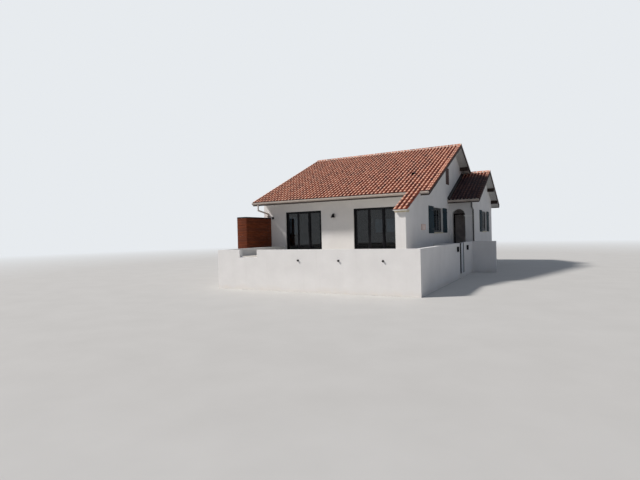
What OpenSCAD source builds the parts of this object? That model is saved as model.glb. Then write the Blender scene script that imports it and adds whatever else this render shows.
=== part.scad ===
// Beach house: a white rendered house under a tiled gable roof, with a lower
// side wing and arched porch, and a walled terrace raised above the beach.
// All sizes are in millimetres. X runs along the ridge to the right gable, Y away
// from the beach and Z up from the lowest ground. The origin is on that ground,
// under the middle of the main house.

/* [House body] */
// Length of the main house along the ridge
house_w = 8850; // [7500:50:10500]
// Depth of the main house from the terrace to the back
house_d = 13000; // [11500:50:14500]
// Thickness of the house walls
wall_t = 250; // [200:10:320]
// Height of the house floor above the lowest ground
floor_z = 1350; // [1200:10:1500]
// Thickness of the floor slab
floor_t = 200; // [150:10:260]
// Width of the way through the right gable to the hall
hall_way_w = 1200; // [1000:10:1500]

/* [Main roof] */
// Height of the tiled ridge above the ground
ridge_z = 7285; // [6900:5:7700]
// Height of the tile edge at the eaves
eave_z = 4080; // [4000:5:4250]
// How far the eaves stand out from the walls
eave_overhang = 856; // [600:2:1000]
// How far the verge stands out from the right gable
right_verge = 515; // [350:5:700]
// How far the verge stands out from the left gable
left_verge = 110; // [60:5:400]
// Height of the roof build-up, from the tile tops to its underside
roof_t = 200; // [170:5:240]
// Height kept above the boarding for the tiles
tile_rise = 60; // [40:5:90]
// Thickness of the fascia and verge boards
board_t = 25; // [18:1:40]
// How far the fascia and verge boards hang below the roof underside
board_drop = 25; // [10:5:60]

/* [Spur wall] */
// Length of the spur wall in front of the house
spur_len = 2680; // [2000:20:3200]
// Thickness of the spur wall
spur_t = 440; // [350:10:550]
// Height of its roof strip's build-up, from the tile tops to the wall
strip_t = 100; // [85:5:150]
// How far its roof strip stands out to the right
strip_verge = 120; // [60:5:200]
// How far its roof strip stands out to the left
strip_inner = 32; // [10:1:60]
// How far its roof strip stands out at the low end
strip_nose = 155; // [120:5:250]
// Height of the moulded cap under the strip's end
cap_h = 110; // [80:5:180]
// How far the spur's cap stands out
moulding_out = 35; // [20:5:60]

/* [Side wing] */
// Width of the wing beside the main gable
wing_w = 1230; // [1150:10:1500]
// Distance from the front wall to the porch front
wing_front = 5355; // [5200:5:5700]
// Height of the tile edge at the porch eave
porch_eave_z = 4028; // [3950:2:4150]
// How far the porch eave stands out
porch_overhang = 400; // [300:10:500]
// How far the wing's verge stands out
wing_verge = 440; // [350:10:550]

/* [Porch] */
// Height of the porch and hall floor above the lowest ground
porch_z = 1200; // [1100:10:1300]
// Width of the arch
arch_w = 700; // [600:10:760]
// Distance from the main gable to the arch
arch_left = 140; // [100:5:180]
// Height of the arch's springing line
spring_z = 3120; // [3000:10:3180]
// Height of the impost moulding
impost_h = 90; // [60:5:130]
// How far the impost stands out
impost_out = 60; // [40:5:80]
// Depth of the porch behind its front wall
porch_depth = 800; // [700:10:950]
// Thickness of the wall that holds the entrance door
entrance_wall_t = 200; // [150:10:250]

/* [Entrance door] */
// Height of the entrance doorway above the porch floor
door_h = 2060; // [1950:10:2100]
// Width of the door frame's posts
door_post = 75; // [60:5:100]
// Thickness of the door leaf
door_t = 50; // [40:5:60]
// Gap round a hinged leaf
leaf_gap = 8; // [7:1:12]
// Distance from a leaf's inner face to its hinge axis
hinge_out = 12; // [11:1:16]
// Radius of the hinge knuckles
knuckle_r = 10; // [8:0.5:10]
// Height of one hinge knuckle
knuckle_h = 60; // [40:5:80]
// Distance from a leaf's foot to its lower hinge
low_hinge = 200; // [120:10:300]
// Distance from a leaf's top to its upper hinge
high_hinge = 300; // [220:10:400]
// Width of the door's stiles and rails
stile_w = 120; // [90:5:150]
// Depth of the door's sunk panels
panel_sink = 12; // [8:1:16]
// Distance from the porch to the door leaf
door_set = 60; // [30:5:90]
// How far the door frame stands out in front of the leaf
door_stop = 10; // [5:1:20]
// Height of the door's middle rail as a share of the leaf's height
mid_rail = 0.45; // [0.35:0.01:0.6]

/* [Sliding doors] */
// Height of the sliding doorways above the floor
slide_h = 2120; // [2000:10:2200]
// Width of the left sliding doorway
left_slide_w = 2150; // [1800:10:2300]
// Distance from the left gable to the left sliding doorway
left_slide_in = 1405; // [1300:5:1600]
// Width of the right sliding doorway
right_slide_w = 2330; // [2000:10:2500]
// Distance from the right gable to the right sliding doorway
right_slide_in = 1155; // [950:5:1300]
// Distance from the wall face to the sliding doors' frames
slide_setback = 50; // [30:5:80]
// How far those frames run on behind the sashes
frame_cover = 10; // [5:1:20]
// Width of the fixed frame members
slide_frame = 50; // [40:5:70]
// Height of the sashes' rails
sash_bar = 50; // [50:5:80]
// Width of the sashes' stiles
sash_stile = 90; // [70:5:110]
// Thickness of a sash
sash_t = 40; // [30:2:50]
// Gap between a sliding sash and the parts beside it
sash_gap = 8; // [6:1:12]
// How far the sliding sash laps over the fixed ones
sash_lap = 20; // [20:5:50]
// Length of a runner under a sliding sash
runner_l = 60; // [40:5:90]
// Distance from a sash's side to its runner
runner_in = 80; // [40:5:120]
// Thickness of the glass units
glass_t = 20; // [16:1:28]

/* [Windows] */
// Width of the window openings
window_w = 1940; // [1700:10:2050]
// Height of the window openings
window_h = 1250; // [1100:10:1300]
// Height of the window sills above the floor
sill_h = 850; // [800:10:950]
// Distance from the front wall to the gable window
gable_window_y = 1750; // [1600:10:1900]
// Distance from the front wall to the wing window
wing_window_y = 8680; // [8400:10:8900]
// Distance between the middles of the two back windows
back_window_pitch = 4200; // [4000:10:4600]
// Width of the window frame members
window_bar = 60; // [45:5:80]
// Depth of the window frames
window_depth = 70; // [60:5:90]
// Distance from the wall face to the window frames
window_setback = 90; // [60:5:120]

/* [Shutters] */
// Width of a shutter leaf
shutter_w = 890; // [800:10:920]
// Height of a shutter leaf
shutter_h = 1310; // [1150:10:1350]
// Thickness of a shutter leaf
shutter_t = 30; // [24:2:40]
// Gap between a shutter leaf and the window opening
shutter_gap = 20; // [10:5:40]
// Height of the ledges across a shutter
ledge_h = 90; // [70:5:120]
// Thickness of the ledges
ledge_t = 20; // [15:1:30]
// How far the ledges stop short of a shutter's sides
ledge_side = 40; // [20:5:80]
// Distance from a shutter's ends to its ledges
ledge_end = 160; // [120:10:250]
// Width of the attic shutter
attic_w = 840; // [600:10:900]
// Height of the attic shutter
attic_h = 930; // [700:10:950]
// Distance from the front wall to the attic shutter
attic_y = 4600; // [4450:10:4800]
// Height of the attic opening above the ground
attic_z = 4820; // [4700:10:4900]
// Distance from the wall face to the attic shutters
attic_setback = 10; // [5:5:60]

/* [Terrace] */
// Depth of the terrace in front of the house
terrace_d = 5020; // [4500:20:5500]
// Distance from the left gable to the terrace's left end
terrace_in = 1080; // [900:10:1300]
// Step from the house floor down to the terrace floor
terrace_step = 10; // [5:5:40]
// Thickness of the terrace walls
terrace_t = 200; // [150:10:250]
// Height of the terrace walls above the lowest ground
terrace_h = 1670; // [1600:10:1800]
// Width of the way out through the front wall's top
gap_w = 910; // [700:10:1100]
// Distance from the terrace's left end to that way out
gap_x = 1195; // [900:5:1400]
// Length of the return wall beside the porch
return_len = 1200; // [800:10:1600]
// How far the return wall stands in front of the porch
return_step = 50; // [20:5:150]
// Number of drain spouts in the front wall
spout_n = 3; // [1:1:3]
// Distance between the drain spouts
spout_pitch = 1770; // [1500:10:1900]
// Distance from the right gable to the first drain spout
spout_x = 120; // [50:10:300]
// Depth of the drain spouts below the terrace floor
spout_drop = 110; // [80:5:150]
// Radius of the drain spouts
spout_r = 30; // [20:1:40]
// How far the drain spouts stand out
spout_out = 60; // [40:5:100]
// Thickness of the drain spouts' pipe
spout_t = 5; // [3:1:8]

/* [Garden gate] */
// Distance from the front wall to the gateway
gate_y = 1740; // [1600:10:2100]
// Width of the gateway
gate_w = 1000; // [900:10:1100]
// Height of the gate's sill
gate_sill = 220; // [150:10:300]
// How far the sill stands out of the wall
gate_sill_out = 60; // [20:5:100]
// Size of the square gate posts
gate_post = 60; // [50:5:80]
// Thickness of the gate leaf
gate_t = 45; // [35:5:60]
// Distance from the wall's inner face to the gate leaf
gate_set = 135; // [100:5:145]
// How far the near post stands out of the wall
gate_post_out = 45; // [20:5:80]
// Gap under the gate leaf
gate_foot_gap = 30; // [15:5:50]
// How far the gate's top stays below the terrace walls
gate_top_gap = 10; // [0:5:40]
// Width of the gate leaf's rails
gate_rail = 90; // [70:5:120]

/* [Timber screen] */
// Width of the timber screen
screen_w = 590; // [500:10:700]
// How far the screen stands out from the front wall
screen_d = 2160; // [1800:20:2400]
// Height of the screen above the house floor
screen_h = 1870; // [1700:10:1950]
// How far the screen stands out past the left gable
screen_out = 140; // [60:10:250]
// Thickness of the screen's boards
screen_t = 30; // [24:2:40]

/* [Fittings] */
// Radius of the gutters
gutter_r = 65; // [55:1:80]
// Height of the gutters' straight sides over their round bottom
gutter_side = 45; // [20:5:60]
// Thickness of the gutter metal
gutter_t = 6; // [4:0.5:8]
// Radius of the downpipes
pipe_r = 40; // [35:1:50]
// Distance from the left gable to the front downpipe
left_pipe_in = 280; // [180:5:330]
// Length of a downpipe's straight top under its gutter
neck_top = 300; // [150:10:400]
// How far the downpipes' bends stand out round the pipe
bend_out = 4; // [3:1:8]
// How far a swan neck falls on its way back to the wall
neck_fall = 150; // [100:10:300]
// Outer radius of the ridge tiles
ridge_r = 115; // [100:1:130]
// Thickness of the ridge tiles
ridge_t = 20; // [14:1:25]
// Distance from the main verge board's lower end to the wing's ridge
valley_gap = 60; // [20:5:120]
// Width of a purlin end
purlin_w = 120; // [100:10:150]
// Height of a purlin end
purlin_h = 225; // [180:5:260]
// Distance from the ridge to the main purlin
purlin_run = 2020; // [1700:10:2300]
// Distance from the left sliding doorway to the cone lamp
cone_gap = 725; // [500:5:900]
// Height of the cone lamp's rim above the house floor
cone_z = 1730; // [1600:10:1900]
// Radius of the cone lamp's rim
cone_r = 110; // [80:5:140]
// Height of the cone lamp
cone_h = 180; // [140:10:220]
// Distance from the left gable to the spotlight
spot_in = 600; // [520:5:1000]
// Height of the spotlight above the house floor
spot_z = 1840; // [1700:10:1950]
// Size of the spotlight's square base
spot_base = 100; // [80:5:120]
// Width of the gate lamps
gate_lamp_w = 120; // [90:5:150]
// Height of the gate lamps
gate_lamp_h = 240; // [180:10:280]
// Distance from the terrace wall's top down to the gate lamps
gate_lamp_drop = 150; // [100:10:250]
// Distance from the gateway to the near gate lamp
near_lamp_gap = 650; // [500:10:800]
// Distance from the gateway to the far gate lamp
far_lamp_gap = 750; // [600:10:950]
// Width of the roof vent
vent_w = 180; // [140:10:240]
// Length of the roof vent down the slope
vent_len = 260; // [200:10:320]
// Height of the roof vent above the tile tops
vent_h = 90; // [60:5:120]
// Distance from the right gable to the roof vent
vent_x = 890; // [700:10:1100]
// Distance from the front wall to the roof vent
vent_y = 1600; // [1400:10:1800]

/* [Hidden] */
$fn = 48;

render_white = "#e9e8e6";
stone_cream = "#ddd8cb";
tile_red = "#b5654b";
soffit_white = "#dcdad6";
timber_dark = "#3a2f2b";
frame_black = "#26282b";
shutter_blue = "#2c3e4a";
pane_blue = "#5a7182";
slab_grey = "#b9b4aa";

// A cut runs this far past the face it opens
cut = 5;
// A slip fit that a hinge or runner needs
slip = 0.3;
// Gap between a sloping wall top and the roof boarding that it carries
seat = 0.3;
// Overlap that joins two blocks into one solid
fuse = 1;
// Height of the roof boarding's edge above the gutters' rims
gutter_drop = 20;
// Radius of the balls that stand for the downpipes' bends
bend_r = pipe_r + bend_out;

// Roof planes: both ridges and all four slopes share one pitch
ridge_y = house_d / 2;
pitch = (ridge_z - eave_z) / (ridge_y + eave_overhang);
front_eave = -eave_overhang;
back_eave = house_d + eave_overhang;
porch_eave = wing_front - porch_overhang;
// The wing's front slope climbs from the porch eave until it meets the main back slope
wing_ridge = (ridge_z - porch_eave_z + pitch * (ridge_y + porch_eave)) / (2 * pitch);
wing_out = wing_w + wing_verge;
strip_end = -spur_len - strip_nose;
strip_left = -spur_t - strip_inner;

// Height of the tile tops over a point, on the main roof and on the wing's front slope
function main_top(y) = ridge_z - pitch * abs(y - ridge_y);
function wing_top(y) = porch_eave_z + pitch * (y - porch_eave);

// Height of the wall tops under the boarding
function under_main(y) = main_top(y) - roof_t - seat;
function under_wing(y) = wing_top(y) - roof_t - seat;

// Wall levels
plinth_z = floor_z - floor_t;
wing_plinth_z = porch_z - floor_t;
terrace_floor_z = floor_z - terrace_step;
slide_head = floor_z + slide_h;
sill_z = floor_z + sill_h;
door_head = porch_z + door_h;
hall_w = wing_w - wall_t;
porch_back = wing_front + wall_t + porch_depth;
arch_r = arch_w / 2;
arch_x = arch_left + arch_r;
gate_x = wing_w - terrace_t;
left_slide_x = house_w - left_slide_in;
right_slide_x = right_slide_in + right_slide_w;
terrace_left = house_w - terrace_in;
left_pipe_x = house_w - left_pipe_in;
screen_x = house_w + screen_out - screen_w;
shutter_drop = (shutter_h - window_h) / 2;

// Puts the walls' corner frame under the origin in the middle of the house
module at_house() {
    translate([house_w / 2, -house_d / 2, 0])
        children();
}

// A bar along X with a profile drawn in Y and Z
module along_x(x0, x1) {
    translate([x0, 0, 0])
        rotate([90, 0, 90])
            linear_extrude(x1 - x0)
                children();
}

// A block between two corners
module block(low, high) {
    translate(low)
        cube(high - low);
}

// A pipe between two heights
module post_pipe(x, y, z0, z1, r) {
    translate([x, y, z0])
        cylinder(r = r, h = z1 - z0);
}

// Profile of a slope between two depths, from the boarding's top down to its underside
module slope_profile(y0, y1, z0, z1, above, below) {
    polygon([[y0, z0 - above], [y0, z0 - below], [y1, z1 - below], [y1, z1 - above]]);
}

// A length of roof boarding on a main slope
module main_slab(x0, x1, y0, y1) {
    along_x(x0, x1)
        slope_profile(y0, y1, main_top(y0), main_top(y1), tile_rise, roof_t);
}

// The tiles' bed on the spur wall, in the same plane and thinner
module strip_slab(y0, y1) {
    along_x(strip_left, strip_verge)
        slope_profile(y0, y1, main_top(y0), main_top(y1), tile_rise, strip_t);
}

// A board that closes the edge of a main slope
module main_verge_board(x0, y0, y1) {
    along_x(x0, x0 + board_t)
        slope_profile(y0, y1, main_top(y0), main_top(y1), tile_rise, roof_t + board_drop);
}

// Deep round-bottomed gutter with closed ends and the fascia board that carries it
module gutter_run(x0, x1, y, z, side) {
    fascia_low = z - roof_t - 2 * board_drop;
    gutter_y = y + side * gutter_r;
    gutter_z = gutter_low(z) + gutter_r;
    along_x(x0, x1)
        polygon([[y, z - tile_rise], [y, fascia_low],
                 [y - side * board_t, fascia_low], [y - side * board_t, z - tile_rise]]);
    along_x(x0, x1)
        difference() {
            gutter_section(gutter_y, gutter_z, gutter_r, gutter_side);
            gutter_section(gutter_y, gutter_z, gutter_r - gutter_t, gutter_side + cut);
        }
    for (x = [x0, x1 - gutter_t])
        along_x(x, x + gutter_t)
            gutter_section(gutter_y, gutter_z, gutter_r, gutter_side);
}

// Lower half of a disc with straight sides above it
module gutter_section(y, z, r, rise) {
    intersection() {
        translate([y, z])
            circle(r);
        translate([y - r, z - r])
            square([2 * r, r]);
    }
    translate([y - r, z - fuse])
        square([2 * r, rise + fuse]);
}

// The windows' places: the corner where each opening starts on the wall's outer
// face, and how far its wall is turned from facing the beach
window_places = [
    [0, gable_window_y, 90],
    [wing_w, wing_window_y, 90],
    [-house_w, gable_window_y + window_w, -90],
    [(-house_w - back_window_pitch + window_w) / 2, house_d, 180],
    [(-house_w + back_window_pitch + window_w) / 2, house_d, 180]
];

module at_window(place) {
    translate([place[0], place[1], sill_z])
        rotate([0, 0, place[2]])
            children();
}

// The attic openings' places, in the same form
attic_places = [
    [0, attic_y, 90],
    [-house_w, attic_y + attic_w, -90]
];

module at_attic(place) {
    translate([place[0], place[1], attic_z])
        rotate([0, 0, place[2]])
            children();
}

module opening_cut(w, h) {
    translate([0, -cut, 0])
        cube([w, wall_t + 2 * cut, h]);
}

// A four-sided frame in X and Z with two stiles and two rails
module frame_bars(w, h, depth, stile, rail) {
    difference() {
        cube([w, depth, h]);
        translate([stile, -1, rail])
            cube([w - 2 * stile, depth + 2, h - 2 * rail]);
    }
}

// Outline of a gable wall in Y and Z under the main roof
module gable_profile(y0, y1) {
    polygon([[y0, plinth_z], [y1, plinth_z], [y1, under_main(y1)],
             [ridge_y, under_main(ridge_y)], [y0, under_main(y0)]]);
}

// Solid base of the house, of the lower wing and of the timber screen
module house_plinth() {
    inner = house_d - wall_t;
    color(render_white) at_house() {
        block([-house_w, 0, 0], [0, inner, plinth_z]);
        block([-house_w, inner, 0], [0, house_d, wing_plinth_z]);
        block([0, wing_front, 0], [wing_w, house_d, wing_plinth_z]);
        block([-screen_x - screen_w, -screen_d, 0], [-screen_x, 0, terrace_floor_z]);
    }
}

// Floor slab of the main room, which runs out through the way to the hall
module house_floor() {
    inner = house_d - wall_t;
    color(slab_grey) at_house() {
        block([-house_w + wall_t, wall_t, plinth_z], [-wall_t, inner, floor_z]);
        block([-wall_t - fuse, inner - hall_way_w, plinth_z], [0, inner, floor_z]);
    }
}

// Outline of the hall and porch floor, which runs out between the piers of the arch
module wing_floor_outline() {
    inner = wing_front + wall_t;
    arch_right = arch_left + arch_w;
    polygon([[0, inner], [arch_left, inner], [arch_left, wing_front], [arch_right, wing_front],
             [arch_right, inner], [hall_w, inner], [hall_w, house_d - wall_t], [0, house_d - wall_t]]);
}

// Floor slab of the hall and the porch, a step below the main room
module wing_floor() {
    color(slab_grey) at_house()
        translate([0, 0, wing_plinth_z])
            linear_extrude(floor_t)
                wing_floor_outline();
}

// The three piers of the front wall beside the sliding doorways
module front_wall_piers() {
    left_end = -left_slide_x + left_slide_w;
    right_end = -right_slide_x + right_slide_w;
    color(render_white) at_house() {
        block([-house_w, 0, plinth_z], [-left_slide_x, wall_t, slide_head]);
        block([left_end, 0, plinth_z], [-right_slide_x, wall_t, slide_head]);
        block([right_end, 0, plinth_z], [0, wall_t, slide_head]);
    }
}

// The front wall over the sliding doorways, up to the sloping boards
module front_wall_head() {
    color(render_white) at_house()
        along_x(-house_w, 0)
            polygon([[0, slide_head], [wall_t, slide_head], [wall_t, under_main(wall_t)],
                     [0, under_main(0)]]);
}

// Wall in front of the right corner, which carries the low strip of roof
module spur_wall() {
    bed_end = front_eave + board_t - seat;
    color(render_white) at_house()
        along_x(-spur_t, 0)
            polygon([[-spur_len, 0], [0, 0], [0, under_main(0)],
                     [bed_end, under_main(bed_end)], [bed_end, main_top(bed_end) - strip_t - seat],
                     [-spur_len, main_top(-spur_len) - strip_t - seat]]);
}

// Stepped moulding round the front and the left of a wall end or pier, and round its
// right side too unless it stops flush there
module moulding(x0, x1, y0, y1, z, h, stand_out, flush = false) {
    steps = 3;
    for (i = [0 : steps - 1]) {
        out = stand_out * (i + 1) / steps;
        right = flush ? x1 : x1 + out;
        difference() {
            block([x0 - out, y0 - out, z + h * i / steps], [right, y1, z + h]);
            block([x0, y0, z - cut], [x1 + (flush ? cut : 0), y1 + cut, z + h + cut]);
        }
    }
}

// Cream mouldings: the cap at the spur's low end and the impost of the porch pier
module moulded_caps() {
    spur_top = main_top(-spur_len - moulding_out) - strip_t;
    pier_left = arch_left + arch_w;
    color(stone_cream) at_house() {
        moulding(-spur_t, 0, -spur_len, -spur_len + spur_t, spur_top - cap_h, cap_h, moulding_out);
        moulding(pier_left, wing_w, wing_front, wing_front + wall_t, spring_z - impost_h, impost_h,
                 impost_out, flush = true);
    }
}

// Right gable wall with its window, its attic opening and the way through to the hall
module gable_wall() {
    inner = house_d - wall_t;
    color(render_white) at_house()
        difference() {
            along_x(-wall_t, 0)
                gable_profile(wall_t, house_d - wall_t);
            at_window(window_places[0])
                opening_cut(window_w, window_h);
            at_attic(attic_places[0])
                opening_cut(attic_w, attic_h);
            block([-wall_t - cut, inner - hall_way_w, plinth_z - cut], [cut, inner + cut, door_head]);
        }
}

// Left gable wall
module left_gable_wall() {
    color(render_white) at_house()
        difference() {
            along_x(-house_w, -house_w + wall_t)
                gable_profile(wall_t, house_d - wall_t);
            at_window(window_places[2])
                opening_cut(window_w, window_h);
            at_attic(attic_places[1])
                opening_cut(attic_w, attic_h);
        }
}

// Back wall of the house and the wing
module back_wall() {
    inner = house_d - wall_t;
    color(render_white) at_house()
        difference() {
            along_x(-house_w, wing_w)
                polygon([[inner, wing_plinth_z], [house_d, wing_plinth_z],
                         [house_d, under_main(house_d)], [inner, under_main(inner)]]);
            for (i = [3, 4])
                at_window(window_places[i])
                    opening_cut(window_w, window_h);
        }
}

// Gable wall of the wing, under its own ridge
module wing_gable_wall() {
    y0 = wing_front + wall_t;
    y1 = house_d - wall_t;
    color(render_white) at_house()
        difference() {
            along_x(wing_w - wall_t, wing_w)
                polygon([[y0, wing_plinth_z], [y1, wing_plinth_z], [y1, under_main(y1)],
                         [wing_ridge, under_main(wing_ridge)], [y0, under_wing(y0)]]);
            at_window(window_places[1])
                opening_cut(window_w, window_h);
        }
}

// Front wall of the porch over the springing line, with the round arch cut through
module porch_arch_wall() {
    y1 = wing_front + wall_t;
    color(render_white) at_house()
        difference() {
            along_x(0, wing_w)
                polygon([[wing_front, spring_z], [y1, spring_z], [y1, under_wing(y1)],
                         [wing_front, under_wing(wing_front)]]);
            translate([arch_x, wing_front - cut, spring_z])
                rotate([-90, 0, 0])
                    cylinder(r = arch_r, h = wall_t + 2 * cut);
        }
}

// Pier and narrow left jamb under the arch
module porch_piers() {
    color(render_white) at_house() {
        block([0, wing_front, wing_plinth_z], [arch_left, wing_front + wall_t, spring_z]);
        block([arch_left + arch_w, wing_front, wing_plinth_z], [wing_w, wing_front + wall_t, spring_z]);
    }
}

// Wall over the entrance door
module entrance_head() {
    y1 = porch_back + entrance_wall_t;
    color(render_white) at_house()
        along_x(0, hall_w)
            polygon([[porch_back, door_head], [y1, door_head], [y1, under_wing(y1)],
                     [porch_back, under_wing(porch_back)]]);
}

// Hinge knuckles along Z, on the leaf's side or on the frame's side of two hinges
module knuckles(heights) {
    for (z = heights)
        translate([0, 0, z])
            cylinder(r = knuckle_r, h = knuckle_h);
}

// Entrance door: its sizes follow the hall's width and the doorway
door_w = hall_w - 2 * door_post - 2 * leaf_gap;
door_y = porch_back + door_set;
door_hinge = [door_post + leaf_gap / 2, door_y + door_t + hinge_out];
door_low = porch_z + leaf_gap;
door_top = door_head - door_post - leaf_gap;
door_hinges = [door_low + low_hinge, door_top - high_hinge];

// Frame of the entrance door, with the fixed knuckles
module entrance_frame() {
    color(timber_dark) at_house() {
        difference() {
            block([0, door_y - door_stop, porch_z], [hall_w, door_y + door_t, door_head]);
            block([door_post, door_y - door_stop - cut, porch_z - cut],
                  [hall_w - door_post, door_y + door_t + cut, door_head - door_post]);
        }
        translate([door_hinge[0], door_hinge[1], 0])
            knuckles(door_hinges);
        for (z = door_hinges)
            block([door_stop, door_y + door_t, z],
                  [door_hinge[0], door_y + door_t + hinge_out, z + knuckle_h]);
    }
}

// Leaf of the entrance door: stiles and rails round two sunk panels
module entrance_door() {
    mid = door_low + (door_top - door_low) * mid_rail;
    x0 = door_post + leaf_gap;
    color(timber_dark) at_house() {
        difference() {
            block([x0, door_y, door_low], [x0 + door_w, door_y + door_t, door_top]);
            for (z = [[door_low + stile_w, mid - stile_w / 2], [mid + stile_w / 2, door_top - stile_w]])
                block([x0 + stile_w, door_y - cut, z[0]],
                      [x0 + door_w - stile_w, door_y + panel_sink, z[1]]);
        }
        translate([door_hinge[0], door_hinge[1], 0])
            knuckles([for (z = door_hinges) z + knuckle_h + slip]);
        for (z = door_hinges)
            block([door_hinge[0], door_y + door_t, z + knuckle_h + slip],
                  [x0 + door_post, door_y + door_t + hinge_out, z + 2 * knuckle_h + slip]);
    }
}

// Front slope of the main roof, with the strip that runs on down over the spur
module main_roof_front() {
    color(tile_red) at_house() {
        main_slab(-house_w - left_verge + board_t, right_verge - board_t, front_eave + board_t, ridge_y);
        strip_slab(strip_end, front_eave + 2 * board_t);
    }
}

// Back slope of the main roof
module main_roof_back() {
    color(tile_red) at_house()
        main_slab(-house_w - left_verge + board_t, right_verge - board_t, ridge_y, back_eave - board_t);
}

// Front slope of the wing's roof, cut back where it meets the main back slope
module wing_roof_front() {
    y0 = porch_eave + board_t;
    color(tile_red) at_house()
        difference() {
            along_x(0, wing_out - board_t)
                slope_profile(y0, wing_ridge, wing_top(y0), wing_top(wing_ridge), tile_rise, roof_t);
            along_x(-cut, right_verge)
                slope_profile(ridge_y, house_d, ridge_z, main_top(house_d), 0, roof_t + board_drop);
        }
}

// Back slope of the wing's roof, in one plane with the main back slope
module wing_roof_back() {
    color(tile_red) at_house()
        main_slab(right_verge, wing_out - board_t, wing_ridge, back_eave - board_t);
}

// Half-round ridge tiles over both ridges
module ridge_run(x0, x1, y, z) {
    along_x(x0, x1)
        translate([y, z])
            intersection() {
                difference() {
                    circle(ridge_r);
                    circle(ridge_r - ridge_t);
                }
                translate([-ridge_r, 0])
                    square([2 * ridge_r, ridge_r]);
            }
}

module ridge_tiles() {
    sink = tile_rise + pitch * (ridge_r - ridge_t);
    color(tile_red) at_house() {
        ridge_run(-house_w - left_verge, right_verge, ridge_y, ridge_z - sink);
        ridge_run(right_verge, wing_out, wing_ridge, main_top(wing_ridge) - sink);
    }
}

// Purlin ends under the back slopes' overhangs
module purlins() {
    main_y = ridge_y + purlin_run;
    wing_mid = (wing_ridge + house_d) / 2;
    color(timber_dark) at_house() {
        along_x(0, right_verge - board_t)
            purlin_profile(main_y);
        for (y = [wing_mid, house_d - purlin_w])
            along_x(wing_w, wing_out - board_t)
                purlin_profile(y);
    }
}

module purlin_profile(y) {
    low = under_main(y) - purlin_h;
    polygon([[y, low], [y + purlin_w, low], [y + purlin_w, under_main(y + purlin_w)],
             [y, under_main(y)]]);
}

// Boards that close the roof's sloping edges
module verge_boards() {
    wing_x = wing_out - board_t;
    color(timber_dark) at_house() {
        main_verge_board(right_verge - board_t, front_eave, ridge_y);
        main_verge_board(right_verge - board_t, ridge_y, wing_ridge - valley_gap);
        main_verge_board(-house_w - left_verge, front_eave, ridge_y);
        main_verge_board(-house_w - left_verge, ridge_y, back_eave);
        main_verge_board(wing_x, wing_ridge, back_eave);
        along_x(wing_x, wing_out)
            slope_profile(porch_eave, wing_ridge, wing_top(porch_eave), wing_top(wing_ridge),
                          tile_rise, roof_t + board_drop);
    }
}

// Gutters and fascia boards along the eaves
module gutters() {
    left = -house_w - left_verge + board_t;
    color(soffit_white) at_house() {
        gutter_run(left, strip_left, front_eave, main_top(front_eave), -1);
        gutter_run(strip_verge, right_verge - board_t, front_eave, main_top(front_eave), -1);
        gutter_run(0, wing_out - board_t, porch_eave, wing_top(porch_eave), -1);
        gutter_run(left, wing_out - board_t, back_eave, main_top(back_eave), 1);
    }
}

// A downpipe that drops from a gutter, bends back and runs down beside the wall
module downpipe(x, gutter_y, wall_y, gutter_z, foot_z) {
    neck_z = gutter_z - neck_top;
    run = wall_y - gutter_y;
    side = run > 0 ? 1 : -1;
    post_pipe(x, gutter_y, neck_z, gutter_z, pipe_r);
    translate([x, gutter_y, neck_z]) {
        sphere(bend_r);
        rotate([-side * (90 + atan2(neck_fall, abs(run))), 0, 0])
            cylinder(r = pipe_r, h = norm([run, neck_fall]));
    }
    translate([x, wall_y, neck_z - neck_fall])
        sphere(bend_r);
    post_pipe(x, wall_y, foot_z, neck_z - neck_fall, pipe_r);
}

// Height of a gutter's underside below a tile edge
function gutter_low(edge_z) = edge_z - tile_rise - gutter_drop - gutter_side - gutter_r;

// Downpipes at the left eave, beside the porch and at the back
module downpipes() {
    color(soffit_white) at_house() {
        downpipe(-left_pipe_x, front_eave - gutter_r, -bend_r, gutter_low(main_top(front_eave)),
                 terrace_floor_z);
        downpipe(wing_w + bend_r, porch_eave - gutter_r, wing_front - return_step + bend_r,
                 gutter_low(wing_top(porch_eave)), 0);
        downpipe(-house_w / 2, back_eave + gutter_r, house_d + bend_r, gutter_low(main_top(back_eave)), 0);
    }
}

// Sliding doors: two fixed sashes on the inner track, one sliding sash on the outer
outer_track = slide_setback + sash_gap;
inner_track = outer_track + sash_t + sash_gap;
frame_depth = inner_track + sash_t - slide_setback + frame_cover;
sash_low = floor_z + slide_frame + sash_gap;
sash_height = slide_h - 2 * slide_frame - 2 * sash_gap;

function sash_pitch(w) = (w - 2 * slide_frame) / 3;
function sash_width(w) = sash_pitch(w) + 2 * sash_lap;

// A sash with its glass left out
module sash(x, y, w, low, height) {
    translate([x, y, low])
        frame_bars(w, height, sash_t, sash_stile, sash_bar);
}

// The glass of a sash
module sash_pane(x, y, w, low, height) {
    block([x + sash_stile, y + (sash_t - glass_t) / 2, low + sash_bar],
          [x + w - sash_stile, y + (sash_t + glass_t) / 2, low + height - sash_bar]);
}

// The fixed sashes start at the doorway's two sides and fill the frame's height
module fixed_sashes(x, w) {
    fixed_w = sash_pitch(w) + sash_lap;
    for (start = [x + slide_frame, x + w - slide_frame - fixed_w])
        sash(start, inner_track, fixed_w, floor_z + slide_frame, slide_h - 2 * slide_frame);
}

module sliding_frames() {
    color(frame_black) at_house() {
        for (door = [[-left_slide_x, left_slide_w], [-right_slide_x, right_slide_w]]) {
            translate([door[0], slide_setback, floor_z])
                frame_bars(door[1], slide_h, frame_depth, slide_frame, slide_frame);
            fixed_sashes(door[0], door[1]);
        }
    }
}

module fixed_glass() {
    color(pane_blue) at_house() {
        for (door = [[-left_slide_x, left_slide_w], [-right_slide_x, right_slide_w]]) {
            fixed_w = sash_pitch(door[1]) + sash_lap;
            for (start = [door[0] + slide_frame, door[0] + door[1] - slide_frame - fixed_w])
                sash_pane(start, inner_track, fixed_w, floor_z + slide_frame, slide_h - 2 * slide_frame);
        }
    }
}

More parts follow.
